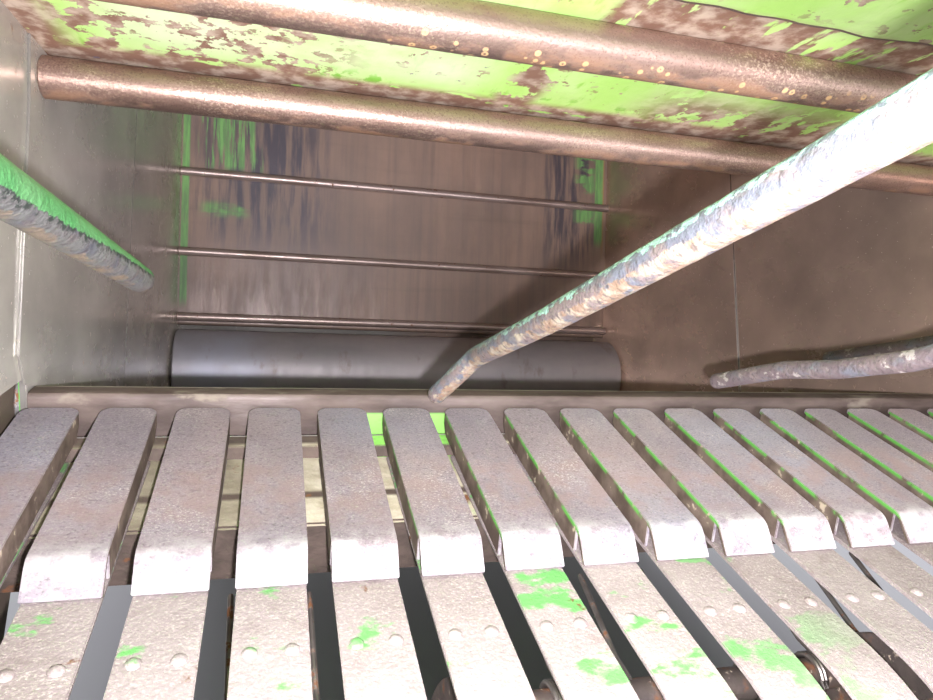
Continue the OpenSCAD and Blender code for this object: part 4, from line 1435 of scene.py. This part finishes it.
pin_l = ARM_X + ARM_T + 2 - OUTER_X
pin_profile = (
    (0, PIN_R + 14), (5, PIN_R + 14), (6.5, PIN_R + 12.5), (6.5, PIN_R), (pin_l - 11.5, PIN_R),
    (pin_l - 11.5, PIN_R + 9), (pin_l - 10.5, PIN_R + 10), (pin_l - 1, PIN_R + 10), (pin_l, PIN_R + 9),
)
pins = on_both_sides(HINGE, OUTER_X, pin_profile, 48)
show(pins, "pickup_pivot_pins", "frame", zinc, ["pivot_pins"])


# Drive cover: a pressed steel box over the reel's drive on the right side, painted
# green, with a rounded edge.
COVER_X0, COVER_X1 = ARM_X + ARM_T + 3, ARM_X + ARM_T + 53
cover = side_solid(link_outline(REEL, 88, HINGE, 66, 40), COVER_X0, COVER_X1, 0)
rim_edges = [e for e in cover.edges if all(v.co.x * 1000 > COVER_X1 - 1 for v in e.verts)]
bmesh.ops.bevel(cover, geom=rim_edges, offset=0.014, segments=5, affect="EDGES", clamp_overlap=True)
join_in(cover, side_solid(link_outline(REEL, 62, HINGE, 40, 40), COVER_X1 - 4, COVER_X1 - 0.1, 1.5))
show(cover, "reel_drive_box", "pickup", plate_paint, ["reel_drive_cover"])


# Guard tube: the 60 mm tube that carries the bars, turning on a pin in each arm, with a
# weld bead round the root of every bar.
arm_face = ARM_X + ARM_T
half_profile = [
    (PLATE_X - 3.5, GUARD_TUBE_R), (PLATE_X - 2, GUARD_TUBE_R - 1.5), (PLATE_X - 2, PIN_R),
    (arm_face + 0.5, PIN_R), (arm_face + 0.5, PIN_R + 9), (arm_face + 1.5, PIN_R + 10),
    (arm_face + 7, PIN_R + 10), (arm_face + 8, PIN_R + 9), (arm_face + 8, PIN_R),
    (arm_face + 12, PIN_R), (arm_face + 14, PIN_R - 2),
]
guard_profile = [(-x, r) for x, r in reversed(half_profile)] + half_profile
show(turned_part(GUARD_PIVOT, guard_profile, 96), "crop_guard_tube", "crop_guard", frame_paint,
     ["guard_tube"])
show(welds, "crop_guard_welds", "crop_guard", frame_paint)


# Gauge wheels: ribbed tyres on pressed steel rims, one each side of the pickup. The
# rubber is dusty and scuffed, and the pale rims have four wheel nuts each.
WHEEL_MID, RIM_R, AXLE_R, NUT_CIRCLE_R = ARM_X + 135, 128, 14, 52
rubber = coated(
    "dusty_rubber",
    shades(clouds(12, detail=7), (0.022, 0.021, 0.02), (0.06, 0.055, 0.048)),
    clouds(30, start=0.62, end=0.85),
    0,
    layers=[(clouds(20, 0.46, 0.7, detail=8), (0.24, 0.19, 0.13), 0.9, 0)],
    bumps=[(clouds(220), 0.0003)],
)
rim_paint = coated(
    "rim_paint",
    shades(clouds(8), (0.42, 0.4, 0.34), (0.56, 0.53, 0.45)),
    clouds(20, start=0.38, end=0.6),
    0,
    layers=[
        rusty(34, 0.58, 0.62, detail=6),
        (clouds(14, 0.45, 0.72, detail=8), (0.3, 0.24, 0.17), 0.9, 0),
    ],
    bumps=[(clouds(34, 0.58, 0.62, detail=6, start=1, end=0), 0.0003)],
)

tyre_half = [
    (0, 200), (5, 200), (7, 193), (11, 193), (13, 199), (23, 198), (25, 191), (29, 191), (31, 196), (42, 190),
    (50, 181), (54, 166), (54.5, 150), (51, 141), (48, 136), (44, 130), (43, RIM_R),
]
tyre_loop = [(-d, r) for d, r in reversed(tyre_half[1:])] + tyre_half
well_half = [
    (6, 116), (22, 120), (41, 127), (46, 129), (49, 133), (50, 138), (52, 138), (52, 132), (47, 125),
    (44, 123), (24, 117), (8, 112),
]
rim_loop = well_half + [
    (4, 107), (6, 82), (-2, 68), (-2, 34), (2, 30), (55, 30), (55, AXLE_R + 0.1),
    (-55, AXLE_R + 0.1), (-55, 30), (-10, 30), (-7, 34), (-7, 70), (0, 84), (-2, 107),
]
rim_loop += [(-d, r) for d, r in reversed(well_half)]
wheel_nuts = [polar(NUT_CIRCLE_R, angle, WHEEL_AXLE) for angle in (20, 110, 200, 290)]
for side, sign in (("left", -1), ("right", 1)):
    body = side + "_wheel"
    tyre, rim = (
        turned_part(WHEEL_AXLE, [(sign * (WHEEL_MID + d), r) for d, r in loop + loop[:1]], 128)
        for loop in (tyre_loop, rim_loop)
    )
    show(tyre, side + "_ribbed_tyre", body, rubber, [side + "_wheel_tyre"])
    show(rim, side + "_pressed_rim", body, rim_paint, [side + "_wheel_rim"])
    spots = [(sign * (WHEEL_MID - 1.5), *place) for place in wheel_nuts]
    show(bolted(hex_bolt(17), (sign, 0, 0), spots, 31), side + "_wheel_nuts", body, zinc)
